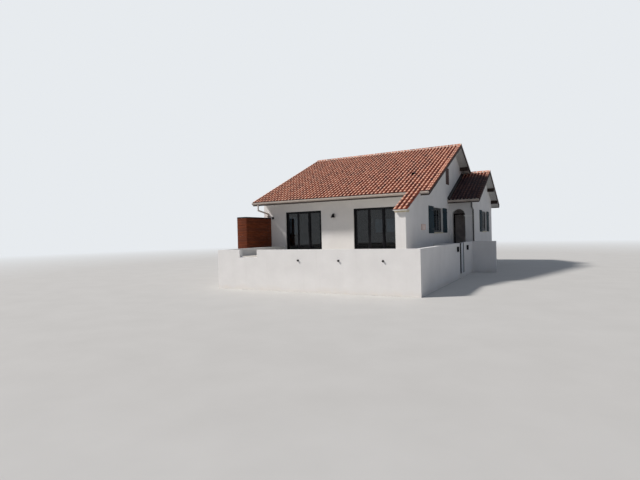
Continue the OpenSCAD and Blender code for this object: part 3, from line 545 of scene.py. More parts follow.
def tile_finish(name, first_x, column, course, eave, boarding_z, mirrored=False, painted_shadow=0.0):
    """Clay with a tone for each tile, with dirt and painted shade in the pans and under the
    laps, and painted highlights, partly sun-bleaching, on the rolls.

    The eave is how far the slope's lower edge lies in front of Y = 0, and the last argument how
    dark a painted shadow of the main roof lies, up to a little below the wing's ridge.
    """
    f = Finish(name, 0.8, Specular_IOR_Level=0.08 if painted_shadow else 0.2)
    y = f.math("ABSOLUTE", f.axis("Y")) if mirrored else f.math("MULTIPLY", f.axis("Y"), -1.0)
    run = f.math("SUBTRACT", eave, y)
    rise = f.math("SUBTRACT", f.axis("Z"), boarding_z)
    up_slope = f.math("MULTIPLY_ADD", run, COS, f.math("MULTIPLY", rise, SIN))
    off_slope = f.math("SUBTRACT", f.math("MULTIPLY", rise, COS), f.math("MULTIPLY", run, SIN))
    across = f.math("FLOOR", f.math("DIVIDE", f.math("SUBTRACT", f.axis("X"), first_x), column))
    courses = f.math("DIVIDE", f.math("ADD", up_slope, 0.002), course)
    share = f.math("FRACT", courses)
    side = f.math("GREATER_THAN", f.axis("Y"), 0.0)
    tone = clay(f, f.own_share(across, f.math("FLOOR", courses), side))
    # Dirt and painted shade: the pans between the rolls and each course's top, under the next
    # tail, are darkened
    pan_dirt_and_painted_shade = f.mixed(1.0, tone, (0.24, 0.105, 0.070), "MULTIPLY")
    in_pan = f.between(off_slope, 0.012, 0.037, 1.0, 0.0)
    at_lap = f.between(share, 0.74, 0.90, 0.0, 0.9)
    tone = f.mixed(f.math("MAXIMUM", in_pan, at_lap), tone, pan_dirt_and_painted_shade)
    # Painted highlight, partly sun-bleaching: the crests of the rolls are lightened, most towards
    # each tile's tail
    crest = f.between(off_slope, 0.034, 0.046, 0.0, 0.90)
    bleach_and_painted_highlight = f.math("MULTIPLY", crest, f.between(share, 0.40, 0.78, 1.0, 0.1))
    tone = f.mixed(bleach_and_painted_highlight, tone, (0.91, 0.525, 0.385))
    # Painted shadow of the main roof: a blue-black laid over the slope in patches, fading out just
    # below the wing's ridge
    if painted_shadow:
        low = f.between(f.axis("Z"), 5.45, 5.95, painted_shadow, 0.0)
        patches = f.between(f.noise(2.4, 5, 0.7), 0.3, 0.65, 0.86, 1.0)
        tone = f.mixed(f.math("MULTIPLY", low, patches), tone, (0.011, 0.008, 0.015))
    f.coloured(tone)
    return f.material


def ridge_finish(name, first_x, length):
    """Clay ridge tiles with pale mortar smeared at their laps."""
    f = Finish(name, 0.8)
    along = f.math("DIVIDE", f.math("SUBTRACT", f.axis("X"), first_x), length)
    tone = clay(f, f.own_share(f.math("FLOOR", along), 3.0))
    lap = f.math("ADD", f.math("FRACT", along), f.between(f.noise(22, 3), 0.3, 0.7, -0.10, 0.10))
    f.coloured(f.mixed(f.between(lap, 0.82, 0.90), tone, (0.70, 0.64, 0.56)))
    return f.material


def mortar_finish():
    f = Finish("bedding_mortar", 0.95)
    f.coloured(f.mixed(
        f.between(f.noise(14, 5), 0.35, 0.7), (0.58, 0.52, 0.45), (0.74, 0.69, 0.61)))
    f.bumped(f.noise(55, 5, 0.7), 0.006, 0.9)
    return f.material


def soffit_finish():
    """Painted boards under the overhangs, with a groove at each joint."""
    f = Finish("soffit_boards", 0.7)
    across = f.math("FRACT", f.math("DIVIDE", f.axis("Y"), 0.11))
    line = f.math("LESS_THAN", f.math("ABSOLUTE", f.math("SUBTRACT", across, 0.5)), 0.045)
    groove = f.math("MULTIPLY", line, f.math("LESS_THAN", f.facing("Z"), -0.5))
    grain = f.grain((1.5, 28, 28), 4, 0.6)
    paint = f.mixed(f.between(grain, 0.3, 0.7), (0.56, 0.545, 0.52), (0.66, 0.645, 0.62))
    f.coloured(f.mixed(groove, paint, (0.20, 0.19, 0.18)))
    flat = f.math("SUBTRACT", 1.0, groove)
    f.bumped(f.math("ADD", flat, f.math("MULTIPLY", grain, 0.15)), 0.004)
    return f.material


def painted_timber_finish(name, dark, light, scale, roughness):
    """Painted boards whose grain runs along the axis with the smallest scale."""
    f = Finish(name, roughness, Specular_IOR_Level=0.12)
    grain = f.grain(scale, 5, 0.65)
    worn = f.between(f.noise(3.5, 4), 0.5, 0.8, 0.0, 0.4)
    paint = f.mixed(f.between(grain, 0.3, 0.75), dark, light)
    faded = tuple(c * 1.6 + 0.006 for c in light)
    f.coloured(f.mixed(worn, paint, faded),
               f.between(grain, 0.3, 0.7, roughness - 0.08, roughness + 0.14))
    f.bumped(grain, 0.0016, 0.8)
    return f.material


def stained_board_finish():
    """Red-brown stained boards, each with a tone of its own, and darker knots."""
    f = Finish("stained_boards", 0.62, Specular_IOR_Level=0.15)
    above_foot = f.math("SUBTRACT", f.axis("Z"), SCREEN_Z)
    board = f.math("FLOOR", f.math("DIVIDE", above_foot, BOARD_PITCH))
    random = f.own_share(board, 1.0)
    grain = f.grain((2.2, 2.2, 40), 6, 0.65)
    tone = f.mixed(f.between(grain, 0.32, 0.7), (0.062, 0.014, 0.005), (0.22, 0.050, 0.014))
    tone = f.mixed(f.math("MULTIPLY", random, 0.55), tone, (0.075, 0.024, 0.016))
    knots = f.between(f.noise(5.2, 2, 0.5, f.stretched((1, 1, 1.8))), 0.70, 0.76, 0.0, 0.7)
    f.coloured(f.mixed(knots, tone, (0.050, 0.020, 0.014)))
    f.bumped(grain, 0.002, 0.8)
    return f.material


def dust(f):
    """Where dust lies on a coated face."""
    return f.between(f.noise(6, 4), 0.42, 0.75)


def coated_metal_finish(name, colour, roughness=0.38, metal=0.0, spread=0.12, gloss=0.3):
    """Sprayed or coated metal: slight orange peel, dust and uneven gloss."""
    f = Finish(name, roughness, Metallic=metal, Specular_IOR_Level=gloss)
    dusty = tuple(c * (1 - spread) + 0.45 * spread for c in colour)
    f.coloured(f.mixed(dust(f), colour, dusty),
               f.between(f.noise(18, 3), 0.3, 0.7, roughness - 0.06, roughness + 0.12))
    f.bumped(f.noise(240, 2), 0.0006, 0.5)
    return f.material


def gutter_finish():
    """Pale coated gutters on fascia boards painted dark as the shade under the gutters."""
    f = Finish("sand_gutter", 0.5)
    pale = f.mixed(dust(f), (0.50, 0.43, 0.375), (0.40, 0.345, 0.30))
    # Painted shade: the fascia boards behind and under the gutters are dark, standing for their
    # shadow
    board = f.mixed(f.grain((2, 30, 30), 4, 0.6), (0.045, 0.032, 0.028), (0.085, 0.064, 0.056))
    y = f.axis("Y")
    edge, reach = 0.0005, 0.2
    inside_main = f.math("LESS_THAN", f.math("ABSOLUTE", y), EAVE_Y + edge)
    near_porch = f.math("COMPARE", y, PORCH_EAVE_Y - reach + edge, reach)
    porch_gutter = f.math("MULTIPLY", near_porch, f.math("LESS_THAN", y, PORCH_EAVE_Y - edge))
    f.coloured(f.mixed(f.math("SUBTRACT", inside_main, porch_gutter), pale, board))
    f.bumped(f.noise(200, 2), 0.0006, 0.5)
    return f.material


def downpipe_finish():
    """The pipes' pale coat, and a dark coat on the one beside the porch, painted for the shade
    along it.
    """
    f = Finish("coated_pipes", 0.4)
    dusty = dust(f)
    pale = f.mixed(dusty, (0.62, 0.57, 0.52), (0.52, 0.48, 0.43))
    # Painted shade: the pipe beside the porch gets a dark coat that stands for the shadow lines
    # along it
    dark = f.mixed(dusty, (0.055, 0.050, 0.050), (0.10, 0.092, 0.088))
    beside_porch = f.math("GREATER_THAN", f.axis("X"), WING_X - 0.02)
    f.coloured(f.mixed(beside_porch, pale, dark))
    f.bumped(f.noise(200, 2), 0.0006, 0.5)
    return f.material


def glass_finish():
    """Dark sun-control glazing with a little dust on it."""
    f = Finish("tinted_glazing", 0.03, Transmission_Weight=1.0, IOR=1.48)
    tint = f.between(f.noise(2.2, 3), 0.35, 0.7)
    f.coloured(f.mixed(tint, (0.075, 0.098, 0.112), (0.115, 0.140, 0.160)),
               f.between(f.noise(7, 4), 0.45, 0.8, 0.015, 0.07))
    f.bumped(f.noise(1.1, 1), 0.0012, 0.35)
    return f.material


def plaque_finish():
    f = Finish("glazed_clay_plaque", 0.3)
    f.coloured(f.mixed(
        f.between(f.noise(12, 4), 0.35, 0.7), (0.62, 0.42, 0.36), (0.72, 0.53, 0.46)))
    f.bumped(f.noise(60, 3), 0.001, 0.6)
    return f.material


LEVEL_GRAIN = (30, 3, 3)
UPRIGHT_GRAIN = (30, 30, 2.5)
CAP_LENGTH = (VERGE_RIGHT - VERGE_LEFT) / RIDGE_CAPS

render_white = render_finish()
cream_stone = stone_finish()
paving = paving_finish()
soffit = soffit_finish()
main_clay = tile_finish(
    "main_clay_tiles", VERGE_LEFT, COLUMN, COURSE, EAVE_Y, BOARDING_Z, mirrored=True)
# The wing's front slope carries a painted shadow of the main roof
wing_clay = tile_finish(
    "wing_clay_tiles", WING_FIRST_X, WING_COLUMN, WING_COURSE, -PORCH_EAVE_Y, PORCH_BOARDING_Z,
    painted_shadow=0.97)
strip_clay = tile_finish(
    "strip_clay_tiles", STRIP_LEFT, COLUMN, STRIP_COURSE, -STRIP_END_Y, STRIP_BOARDING_Z)
ridge_clay = ridge_finish("main_ridge_clay", VERGE_LEFT, CAP_LENGTH)
mortar = mortar_finish()
dark_timber = painted_timber_finish(
    "dark_timber", (0.030, 0.020, 0.017), (0.060, 0.042, 0.036), LEVEL_GRAIN, 0.7)
attic_paint = painted_timber_finish(
    "attic_boards", (0.060, 0.036, 0.034), (0.105, 0.068, 0.064), UPRIGHT_GRAIN, 0.7)
shutter_paint = painted_timber_finish(
    "shutter_boards", (0.009, 0.021, 0.030), (0.019, 0.038, 0.050), UPRIGHT_GRAIN, 0.75)
door_paint = painted_timber_finish(
    "door_timber", (0.32, 0.28, 0.27), (0.45, 0.41, 0.39), UPRIGHT_GRAIN, 0.6)
stained_boards = stained_board_finish()
frame_black = coated_metal_finish(
    "black_aluminium", (0.006, 0.006, 0.008), spread=0.015, gloss=0.12)
window_grey = coated_metal_finish("dark_window_coat", (0.035, 0.041, 0.048), 0.45, spread=0.05)
gutter_sand = gutter_finish()
gate_coat = coated_metal_finish("pale_gate_coat", (0.58, 0.61, 0.64), 0.4, spread=0.15)
lamp_black = coated_metal_finish(
    "black_lamp_metal", (0.008, 0.008, 0.010), 0.45, spread=0.02, gloss=0.15)
iron_black = coated_metal_finish("black_ironwork", (0.012, 0.012, 0.013), 0.5, spread=0.04)
steel = coated_metal_finish("brushed_steel", (0.56, 0.56, 0.57), 0.32, metal=1.0, spread=0.05)
flashing_grey = coated_metal_finish(
    "weathered_flashing", (0.032, 0.030, 0.034), 0.65, spread=0.035, gloss=0.15)
pipes_coat = downpipe_finish()
glazing = glass_finish()
plaque_clay = plaque_finish()

NODE_FINISHES = {
    render_white: ("house_plinth", "front_wall_piers", "front_wall_head", "spur_wall",
                   "gable_wall", "left_gable_wall", "back_wall", "wing_gable_wall",
                   "porch_arch_wall", "porch_piers", "entrance_head", "terrace_front_wall",
                   "terrace_side_wall", "terrace_end_walls"),
    cream_stone: ("moulded_caps",),
    paving: ("house_floor", "wing_floor", "terrace_floor"),
    soffit: ("main_roof_front", "main_roof_back", "wing_roof_front", "wing_roof_back"),
    ridge_clay: ("ridge_tiles",),
    dark_timber: ("purlins", "verge_boards", "entrance_frame"),
    door_paint: ("entrance_door",),
    gutter_sand: ("gutters",),
    pipes_coat: ("downpipes",),
    frame_black: ("sliding_frames", "left_sash", "right_sash", "gate_posts"),
    window_grey: ("window_frames",),
    glazing: ("fixed_glass", "left_sash_glass", "right_sash_glass", "window_glass"),
    shutter_paint: ("shutters",),
    attic_paint: ("attic_shutters",),
    gate_coat: ("garden_gate",),
    stained_boards: ("timber_screen",),
    lamp_black: ("wall_lamps", "drain_spouts", "roof_vent"),
}
for finish, names in NODE_FINISHES.items():
    for name in names:
        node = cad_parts[name]
        node.data.materials.clear()
        node.data.materials.append(finish)


# Clay tiles

# Section of one tile across a column: its roll, then its flat pan, as shares of the
# column's width and of the roll's height
TILE_SECTION = (
    (-0.03, 0.14), (0.03, 0.52), (0.14, 0.88), (0.28, 1.0), (0.42, 0.88), (0.53, 0.52),
    (0.59, 0.10), (0.66, 0.0), (1.0, 0.0))
# Sections of the tiles along a verge, from the roof over the edge and down the board
START_VERGE = ((0.100, 0.036), (0.069, 0.043), (0.036, 0.038), (0.008, 0.024),
               (-0.008, 0.008), (-0.011, -0.030))
END_VERGE = ((-0.095, 0.008), (-0.078, 0.030), (-0.048, 0.041), (-0.018, 0.036),
             (0.006, 0.018), (0.011, -0.030))
ROLL_H = 0.041
TILE_LAP = 0.045
TAIL_LIFT = 0.011
HEAD_H = 0.002
CLAY_T = 0.010
WING_BACK_COURSES = 14

# Upright planes across the roof, each with the side that is cut off
AT_RIDGE = ((0, 0, 0), (0, 1, 0))
BEHIND_RIDGE = ((0, 0, 0), (0, -1, 0))
AT_WING_RIDGE = ((0, WING_RIDGE_Y, 0), (0, 1, 0))
BEHIND_WING_RIDGE = ((0, WING_RIDGE_Y, 0), (0, -1, 0))
BEFORE_WING_RIDGE = ((0, WING_RIDGE_Y - 0.06, 0), (0, 1, 0))
UNDER_MAIN_VERGE = ((0, UNDER_MAIN_VERGE_Y, 0), (0, 1, 0))


def on_slope(x, y, z, from_back=False):
    """Stands at a point of an eave: X along it, Y up the slope, Z off the boarding."""
    turn = Matrix.Rotation(math.pi if from_back else 0.0, 4, "Z")
    return at(x, y, z) @ turn @ Matrix.Rotation(SLOPE, 4, "X")


def front_eave(x):
    return on_slope(x, -EAVE_Y, BOARDING_Z)


def back_eave(x):
    return on_slope(x, EAVE_Y, BOARDING_Z, from_back=True)


def porch_eave(x):
    return on_slope(x, PORCH_EAVE_Y, PORCH_BOARDING_Z)


def tile(section, course):
    """One tile, whose lower end is raised to lie on the course below."""
    sheet = profiled_sheet(section, course + TILE_LAP)
    moved(sheet, lambda co: co.y < 0.001, (0, 0, TAIL_LIFT))
    rightward = section[0][0] < section[-1][0]
    return thickened(sheet, CLAY_T if rightward else -CLAY_T)


def in_courses(part, courses, course, place, cuts):
    """Repeats a tile or a row of tiles up a slope, cut off at the given planes."""
    repeated(part, courses, (0, course, 0))
    placed(part, place)
    for plane in cuts:
        cut_off(part, *plane)
    return part


def tiled_slope(columns, courses, place, cuts=(), column=COLUMN, course=COURSE):
    """Rolled tiles all over one slope."""
    section = [(x * column, HEAD_H + z * ROLL_H) for x, z in TILE_SECTION]
    row = repeated(tile(section, course), columns, (column, 0, 0))
    return in_courses(row, courses, course, place, cuts)


def verge_course(section, courses, place, cuts, course=COURSE):
    """The tiles that close one slope at a verge."""
    return in_courses(tile(section, course), courses, course, place, cuts)


front_tiles = tiled_slope(COLUMNS, COURSES, front_eave(VERGE_LEFT), [AT_RIDGE])
finished(front_tiles, "front_slope_tiles", main_clay, 50)
back_tiles = tiled_slope(COLUMNS, COURSES, back_eave(VERGE_RIGHT), [BEHIND_RIDGE])
finished(back_tiles, "back_slope_tiles", main_clay, 50)
under_verge = tiled_slope(COLUMNS_UNDER_VERGE, WING_COURSES, porch_eave(WING_FIRST_X),
                          [UNDER_MAIN_VERGE], WING_COLUMN, WING_COURSE)
beside_verge = tiled_slope(WING_COLUMNS, WING_COURSES, porch_eave(VERGE_RIGHT),
                           [AT_WING_RIDGE], WING_COLUMN, WING_COURSE)
finished(joined([under_verge, beside_verge]), "wing_front_tiles", wing_clay, 50)
wing_back = tiled_slope(WING_COLUMNS, WING_BACK_COURSES, back_eave(WING_VERGE),
                        [BEHIND_WING_RIDGE], WING_COLUMN)
finished(wing_back, "wing_back_tiles", main_clay, 50)
strip_eave = on_slope(STRIP_LEFT, STRIP_END_Y, STRIP_BOARDING_Z)
strip_tiles = tiled_slope(STRIP_COLUMNS, STRIP_COURSES, strip_eave, course=STRIP_COURSE)
finished(strip_tiles, "spur_strip_tiles", strip_clay, 50)

verge_tiles = joined([verge_course(*row) for row in (
    (START_VERGE, COURSES, front_eave(VERGE_LEFT), [AT_RIDGE]),
    (END_VERGE, COURSES, front_eave(VERGE_RIGHT), [AT_RIDGE]),
    (END_VERGE, COURSES, back_eave(VERGE_LEFT), [BEHIND_RIDGE]),
    (START_VERGE, COURSES, back_eave(VERGE_RIGHT), [BEHIND_RIDGE, BEFORE_WING_RIDGE]),
    (START_VERGE, WING_BACK_COURSES, back_eave(WING_VERGE), [BEHIND_WING_RIDGE]))])
finished(verge_tiles, "verge_tiles", main_clay, 50)
wing_verge_tiles = verge_course(
    END_VERGE, WING_COURSES, porch_eave(WING_VERGE), [AT_WING_RIDGE], WING_COURSE)
finished(wing_verge_tiles, "wing_verge_tiles", wing_clay, 50)


# Ridge

def ridge_caps(first_x, last_x, count, y, z):
    """Tapered half-round ridge tiles, each wide end over the narrow end of the next."""
    pitch = (last_x - first_x) / count
    lap = 0.04
    cap = rod((0, 0, 0), (pitch + lap, 0, 0), RIDGE_R - 0.001, 24, closed=False)
    resized(cap, lambda co: co.x < 0.001, (1, 0.87, 0.87))
    cut_off(cap, (0, 0, 0), (0, 0, -1), closed=False)
    thickened(cap, 0.014)
    repeated(cap, count, (pitch, 0, 0))
    placed(cap, at(first_x, y, z))
    return cut_off(cap, (last_x, 0, 0), (1, 0, 0))


def ridge_bedding(first_x, last_x, y, z):
    """A rough bead of mortar along both sides of the ridge tiles."""
    step = 0.06
    count = round((last_x - first_x) / step)
    beads = []
    for side in (-1, 1):
        bead = block((0, -0.026, -0.030), (step, 0.026, 0.026))
        pick_faces(bead, lambda normal: normal.z > 0.9)
        bpy.ops.transform.translate(value=(0, -side * 0.016, 0))
        bpy.ops.transform.resize(value=(1, 0.6, 1))
        leave_edit()
        pick_faces(bead, lambda normal: abs(normal.x) > 0.9)
        bpy.ops.mesh.delete(type="FACE")
        leave_edit()
        repeated(bead, count, (step, 0, 0), merge=True)
        for end in (0.0, count * step):
            pick_points(bead, lambda co: abs(co.x - end) < 0.001)
            bpy.ops.mesh.edge_face_add()
            leave_edit()
        beads.append(placed(bead, at(first_x, y + side * 0.122, z + 0.012)))
    bedding = joined(beads)
    lumps = bpy.data.textures.new("mortar_lumps", "CLOUDS")
    lumps.noise_scale = 0.09
    return with_modifier(bedding, "DISPLACE", texture=lumps, strength=0.016, mid_level=0.6)


CAPS_Z = RIDGE_Z - RIDGE_SINK
WING_CAPS_Z = WING_RIDGE_Z - RIDGE_SINK
END_GAP = 0.02
caps = joined([
    ridge_caps(VERGE_LEFT, VERGE_RIGHT, RIDGE_CAPS, 0.0, CAPS_Z),
    ridge_caps(VERGE_RIGHT - 0.10, WING_VERGE, WING_RIDGE_CAPS, WING_RIDGE_Y, WING_CAPS_Z)])
finished(caps, "ridge_caps", ridge_clay, 40, stands_for=("ridge_tiles",))
beddings = joined([
    ridge_bedding(VERGE_LEFT + END_GAP, VERGE_RIGHT - END_GAP, 0.0, CAPS_Z),
    ridge_bedding(VERGE_RIGHT + END_GAP, WING_VERGE - END_GAP, WING_RIDGE_Y, WING_CAPS_Z)])
finished(beddings, "ridge_bedding", mortar, 60)


# Roof metalwork

FIRST_STRAP_X, LAST_STRAP_X = -4.42, 6.00
STRAP_SPACING = 0.75
PIPE_OUT = 0.044
FRONT_PIPE_X = -4.145
BACK_PIPE_X = 0.0


def gutter_straps(first_x, last_x, y, eave_z):
    """Thin straps round a deep gutter, at even distances."""
    strap = rod((-0.012, 0, 0), (0.012, 0, 0), GUTTER_R + 0.003, 24, closed=False)
    cut_off(strap, (0, 0, 0), (0, 0, 1), closed=False)
    pick_points(strap, lambda co: co.z > -0.001)
    bpy.ops.mesh.extrude_region_move(TRANSFORM_OT_translate={"value": (0, 0, GUTTER_SIDE)})
    leave_edit()
    thickened(strap, 0.003)
    count = max(2, round((last_x - first_x) / STRAP_SPACING) + 1)
    repeated(strap, count, ((last_x - first_x) / (count - 1), 0, 0))
    return placed(strap, at(first_x, y, eave_z - GUTTER_DROP))


# One run of straps for each gutter, with its ends in X, its place in Y and its eave's height
straps = joined([gutter_straps(*run) for run in (
    (FIRST_STRAP_X, 3.88, -EAVE_Y - GUTTER_R, EAVE_Z),
    (4.60, 4.86, -EAVE_Y - GUTTER_R, EAVE_Z),
    (4.50, LAST_STRAP_X, PORCH_EAVE_Y - GUTTER_R, PORCH_EAVE_Z),
    (FIRST_STRAP_X, LAST_STRAP_X, EAVE_Y + GUTTER_R - 0.0035, EAVE_Z))])
finished(straps, "gutter_straps", gutter_sand, 40)


def pipe_clip():
    """A ring round a downpipe, with its stub to the wall behind."""
    ring = rod((0, 0, -0.015), (0, 0, 0.015), 0.0455, 24, closed=False)
    thickened(ring, 0.006)
    stub = softened(block((-0.010, 0, -0.010), (0.010, 0.045, 0.010)), 0.003)
    return joined([ring, stub])


clip_places = (
    [at_wall(FRONT_PIPE_X, FRONT_Y - PIPE_OUT, z, 0) for z in (2.0, 3.3)]
    + [at_wall(BACK_PIPE_X, BACK_Y + PIPE_OUT, z, 180) for z in (0.5, 1.7, 2.9)])
finished(set_out(pipe_clip(), clip_places), "downpipe_clips", gutter_sand, 40)


def flashing():
    """Metal folded from the wing's tiles up the main gable wall."""
    section = (
        (0.110, 0.052), (0.095, 0.060), (0.030, 0.060), (0.003, 0.066), (0.0025, 0.150))
    sheet = profiled_sheet(section, (UNDER_MAIN_VERGE_Y - PORCH_EAVE_Y) / COS)
    thickened(sheet, -0.002)
    return placed(sheet, porch_eave(GABLE_X))


finished(flashing(), "wall_flashing", flashing_grey, 30)


# Shutters

SHUTTER_GAP = 0.02
ATTIC_GAP = 0.003
ATTIC_SETBACK = 0.010
LEDGE_ZS = (0.16, SHUTTER_H - 0.25)


def leaf_boards(width, height, count):
    """Upright boards side by side, standing out from the wall at Y = 0."""
    board_w = width / count
    board = softened(block((0.001, -SHUTTER_T, 0), (board_w - 0.001, 0, height)), 0.0035)
    return repeated(board, count, (board_w, 0, 0))


def window_leaf():
    """A shutter of boards with two ledges across them."""
    low_z, high_z = LEDGE_ZS
    boards = leaf_boards(SHUTTER_W, SHUTTER_H, 8)
    ledge = block((0.04, -SHUTTER_T - LEDGE_T, low_z),
                  (SHUTTER_W - 0.04, -SHUTTER_T, low_z + LEDGE_H))
    return joined([boards, repeated(softened(ledge, 0.006), 2, (0, 0, high_z - low_z))])


def strap_hinge(hinge_at_left):
    """A flat iron strap that tapers from its eye on the hinge side."""
    y = -SHUTTER_T - LEDGE_T
    inwards = 1 if hinge_at_left else -1
    start = 0.004 if hinge_at_left else SHUTTER_W - 0.004
    end = start + inwards * SHUTTER_W * 0.62
    strap = block((min(start, end), y - 0.004, -0.016), (max(start, end), y + 0.001, 0.016))
    resized(strap, lambda co: abs(co.x - end) < 0.001, (1, 1, 0.45), (end, y, 0))
    softened(strap, 0.0012, 1)
    eye_x = start - inwards * 0.004
    eye = rod((eye_x, y + 0.004, -0.03), (eye_x, y + 0.004, 0.03), 0.009, 12)
    return joined([strap, softened(eye, 0.002, 1)])


def attic_leaf():
    """A boarded leaf on a thin sheet that closes its joints from behind."""
    boards = leaf_boards(ATTIC_LEAF_W, ATTIC_LEAF_H, 4)
    backing = block((0.02, -0.012, 0.02), (ATTIC_LEAF_W - 0.02, 0, ATTIC_LEAF_H - 0.024))
    return joined([boards, backing])


shutter_z = (WINDOW_H - SHUTTER_H) / 2
left_places = [window @ at(-SHUTTER_GAP - SHUTTER_W, 0, shutter_z) for window in WINDOWS]
right_places = [window @ at(WINDOW_W + SHUTTER_GAP, 0, shutter_z) for window in WINDOWS]
shutters = set_out(window_leaf(), left_places + right_places)
finished(shutters, "boarded_shutters", shutter_paint, 30, stands_for=("shutters",))
on_ledges = [at(0, 0, z + LEDGE_H / 2) for z in LEDGE_ZS]
irons = joined([
    set_out(strap_hinge(False), [place @ up for place in left_places for up in on_ledges]),
    set_out(strap_hinge(True), [place @ up for place in right_places for up in on_ledges])])
finished(irons, "shutter_ironwork", iron_black, 40)

attic_xs = (ATTIC_GAP, ATTIC_LEAF_W + 3 * ATTIC_GAP)
attic_leaves = set_out(attic_leaf(), [
    attic @ at(x, ATTIC_SETBACK + SHUTTER_T, ATTIC_GAP) for attic in ATTICS for x in attic_xs])
finished(attic_leaves, "attic_boards", attic_paint, 30,
         stands_for=("attic_shutters",))


# Windows and doors

PANE_W = (WINDOW_W - 3 * WINDOW_BAR) / 2
PULL_INSET, PULL_SEAT, PULL_Z = 0.045, 0.001, FLOOR_Z + 1.02
LEVER_INSET, LEVER_Z = 0.065, FLOOR_Z + 0.85


def casement():
    """The left one of a window's two casements, lapped over the frame's bars."""
    lap = 0.012
    y = WINDOW_SETBACK + 0.010
    sash = framed((WINDOW_BAR - lap, y, WINDOW_BAR - lap),
                  (WINDOW_BAR + PANE_W + lap, y + 0.050, WINDOW_H - WINDOW_BAR + lap), 0.052)
    return softened(sash, 0.004)


def window_sill():
    """A stone sill that stands out from the wall and falls outwards."""
    fall = 0.018
    sill = block((0.0, -0.030, -0.045), (WINDOW_W, WINDOW_SETBACK + 0.01, 0.012))
    moved(sill, lambda co: co.z > 0 and co.y < 0, (0, 0, -fall))
    return softened(sill, 0.006)


casements = set_out(casement(), [
    window @ at(x, 0, 0) for window in WINDOWS for x in (0, PANE_W + WINDOW_BAR)])
finished(casements, "window_casements", window_grey, 30)
finished(set_out(window_sill(), WINDOWS), "window_sills", cream_stone, 30)


def sash_pulls(xs, y, z):
    """Upright bar handles, each on two feet, at these X of the sashes' faces.

    The edges of a 12-sided foot lie right at the bevel's 30 degrees, and its place decides
    which of them are rounded, so grips and feet are set out first and softened there.
    """
    length, reach = 0.34, 0.030
    foot_zs = (z - 0.38 * length, z + 0.38 * length)
    grip = rod((0, y - reach, -length / 2), (0, y - reach, length / 2), 0.009, 16)
    foot = rod((0, y, 0), (0, y - reach, 0), 0.007, 12)
    grips = copies_at(grip, [at(x, 0, z) for x in xs])
    feet = copies_at(foot, [at(x, 0, foot_z) for x in xs for foot_z in foot_zs])
    return [joined([softened(bar, 0.003) for bar in bars])
            for bars in zip(grips, feet[::2], feet[1::2])]


# Both sashes run in one plane.
sash_boxes = (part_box("left_sash"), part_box("right_sash"))
sash_face_y = sash_boxes[0][0].y
left_pull, right_pull = sash_pulls(
    [high.x - PULL_INSET for low, high in sash_boxes], sash_face_y + PULL_SEAT, PULL_Z)
finished(left_pull, "left_sash_pull", frame_black, 40, body="left_slider")
finished(right_pull, "right_sash_pull", frame_black, 40, body="right_slider")


def lever_set(towards):
    """A lever handle and a keyhole rose on one plate, standing out at Y = 0."""
    y, z = -0.044, 0.04
    plate = softened(block((-0.021, -0.008, -0.11), (0.021, 0, 0.11)), 0.003)
    neck = rod((0, 0, z), (0, -0.048, z), 0.009, 16)
    lever = rod((0, y, z), (towards * 0.115, y, z), 0.009, 16)
    rose = rod((0, 0, -0.06), (0, -0.013, -0.06), 0.014, 20)
    return joined([plate, *(softened(bar, 0.003) for bar in (neck, lever, rose))])


door_low, door_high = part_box("entrance_door")
door_lever = placed(lever_set(-1), at(door_high.x - LEVER_INSET, door_low.y, LEVER_Z))
finished(door_lever, "front_door_lever", steel, 40, body="front_door")


def transom_boards():
    """Upright boards over the entrance door, up to the porch's ceiling."""
    gap, count, uncut_top = 0.002, 9, 4.20
    x0, x1 = GABLE_X + gap, GABLE_X + ENTRANCE_W - gap
    y = PORCH_WALL_Y
    width = (x1 - x0) / count
    board = block((x0, y - 0.018, DOOR_HEAD_Z + gap), (x0 + width - 0.0005, y, uncut_top))
    boards = repeated(softened(board, 0.004), count, (width, 0, 0))
    ceiling_z = PORCH_EAVE_Z + (y - PORCH_EAVE_Y) * TAN - CEILING_DROP
    return cut_off(boards, (0, y, ceiling_z), (0, -TAN, 1))


finished(transom_boards(), "transom_boards", door_paint, 30)


def panel_beads():
    """Mouldings round the entrance door's two sunk panels, and a raised field in each."""
    margin, half_rail = 0.120, 0.060
    x0, x1 = door_low.x + margin, door_high.x - margin
    y = door_low.y
    middle = door_low.z + (door_high.z - door_low.z) * 0.45
    heights = ((door_low.z + margin, middle - half_rail),
               (middle + half_rail, door_high.z - margin))
    parts = []
    for z0, z1 in heights:
        bead = framed((x0 - 0.004, y - 0.006, z0 - 0.004),
                      (x1 + 0.004, y + 0.016, z1 + 0.004), 0.022)
        field = block((x0 + 0.07, y + 0.002, z0 + 0.07), (x1 - 0.07, y + 0.02, z1 - 0.07))
        parts += [softened(bead, 0.005), softened(field, 0.008)]
    return joined(parts)


finished(panel_beads(), "door_panel_beads", door_paint, 30, body="front_door")


# Garden gate

gate_low, gate_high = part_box("garden_gate")
GATE_W = 0.864
GATE_FRAME = 0.090
GATE_LATCH_Z = 1.25


def gate_boards():
    """Upright boards in the gate's sunk panel, on its outer face."""
    y0, y1 = gate_low.y + GATE_FRAME, gate_low.y + GATE_W - GATE_FRAME
    z0, z1 = gate_low.z + GATE_FRAME, gate_high.z - GATE_FRAME
    count = 7
    width = (y1 - y0) / count
    board = block((gate_high.x - 0.013, y0 + 0.001, z0),
                  (gate_high.x - 0.003, y0 + width - 0.001, z1))
    return repeated(softened(board, 0.003), count, (0, width, 0))


finished(gate_boards(), "gate_boards", gate_coat, 30, body="gate")
latch_place = at_wall(gate_high.x, gate_low.y + GATE_FRAME / 2, GATE_LATCH_Z, 90)
finished(placed(lever_set(1), latch_place), "gate_latch", iron_black, 40, body="gate")


# Timber screen

BOARD_T = 0.022
EDGE_T = 0.026
PIPE_NOTCH = 0.05


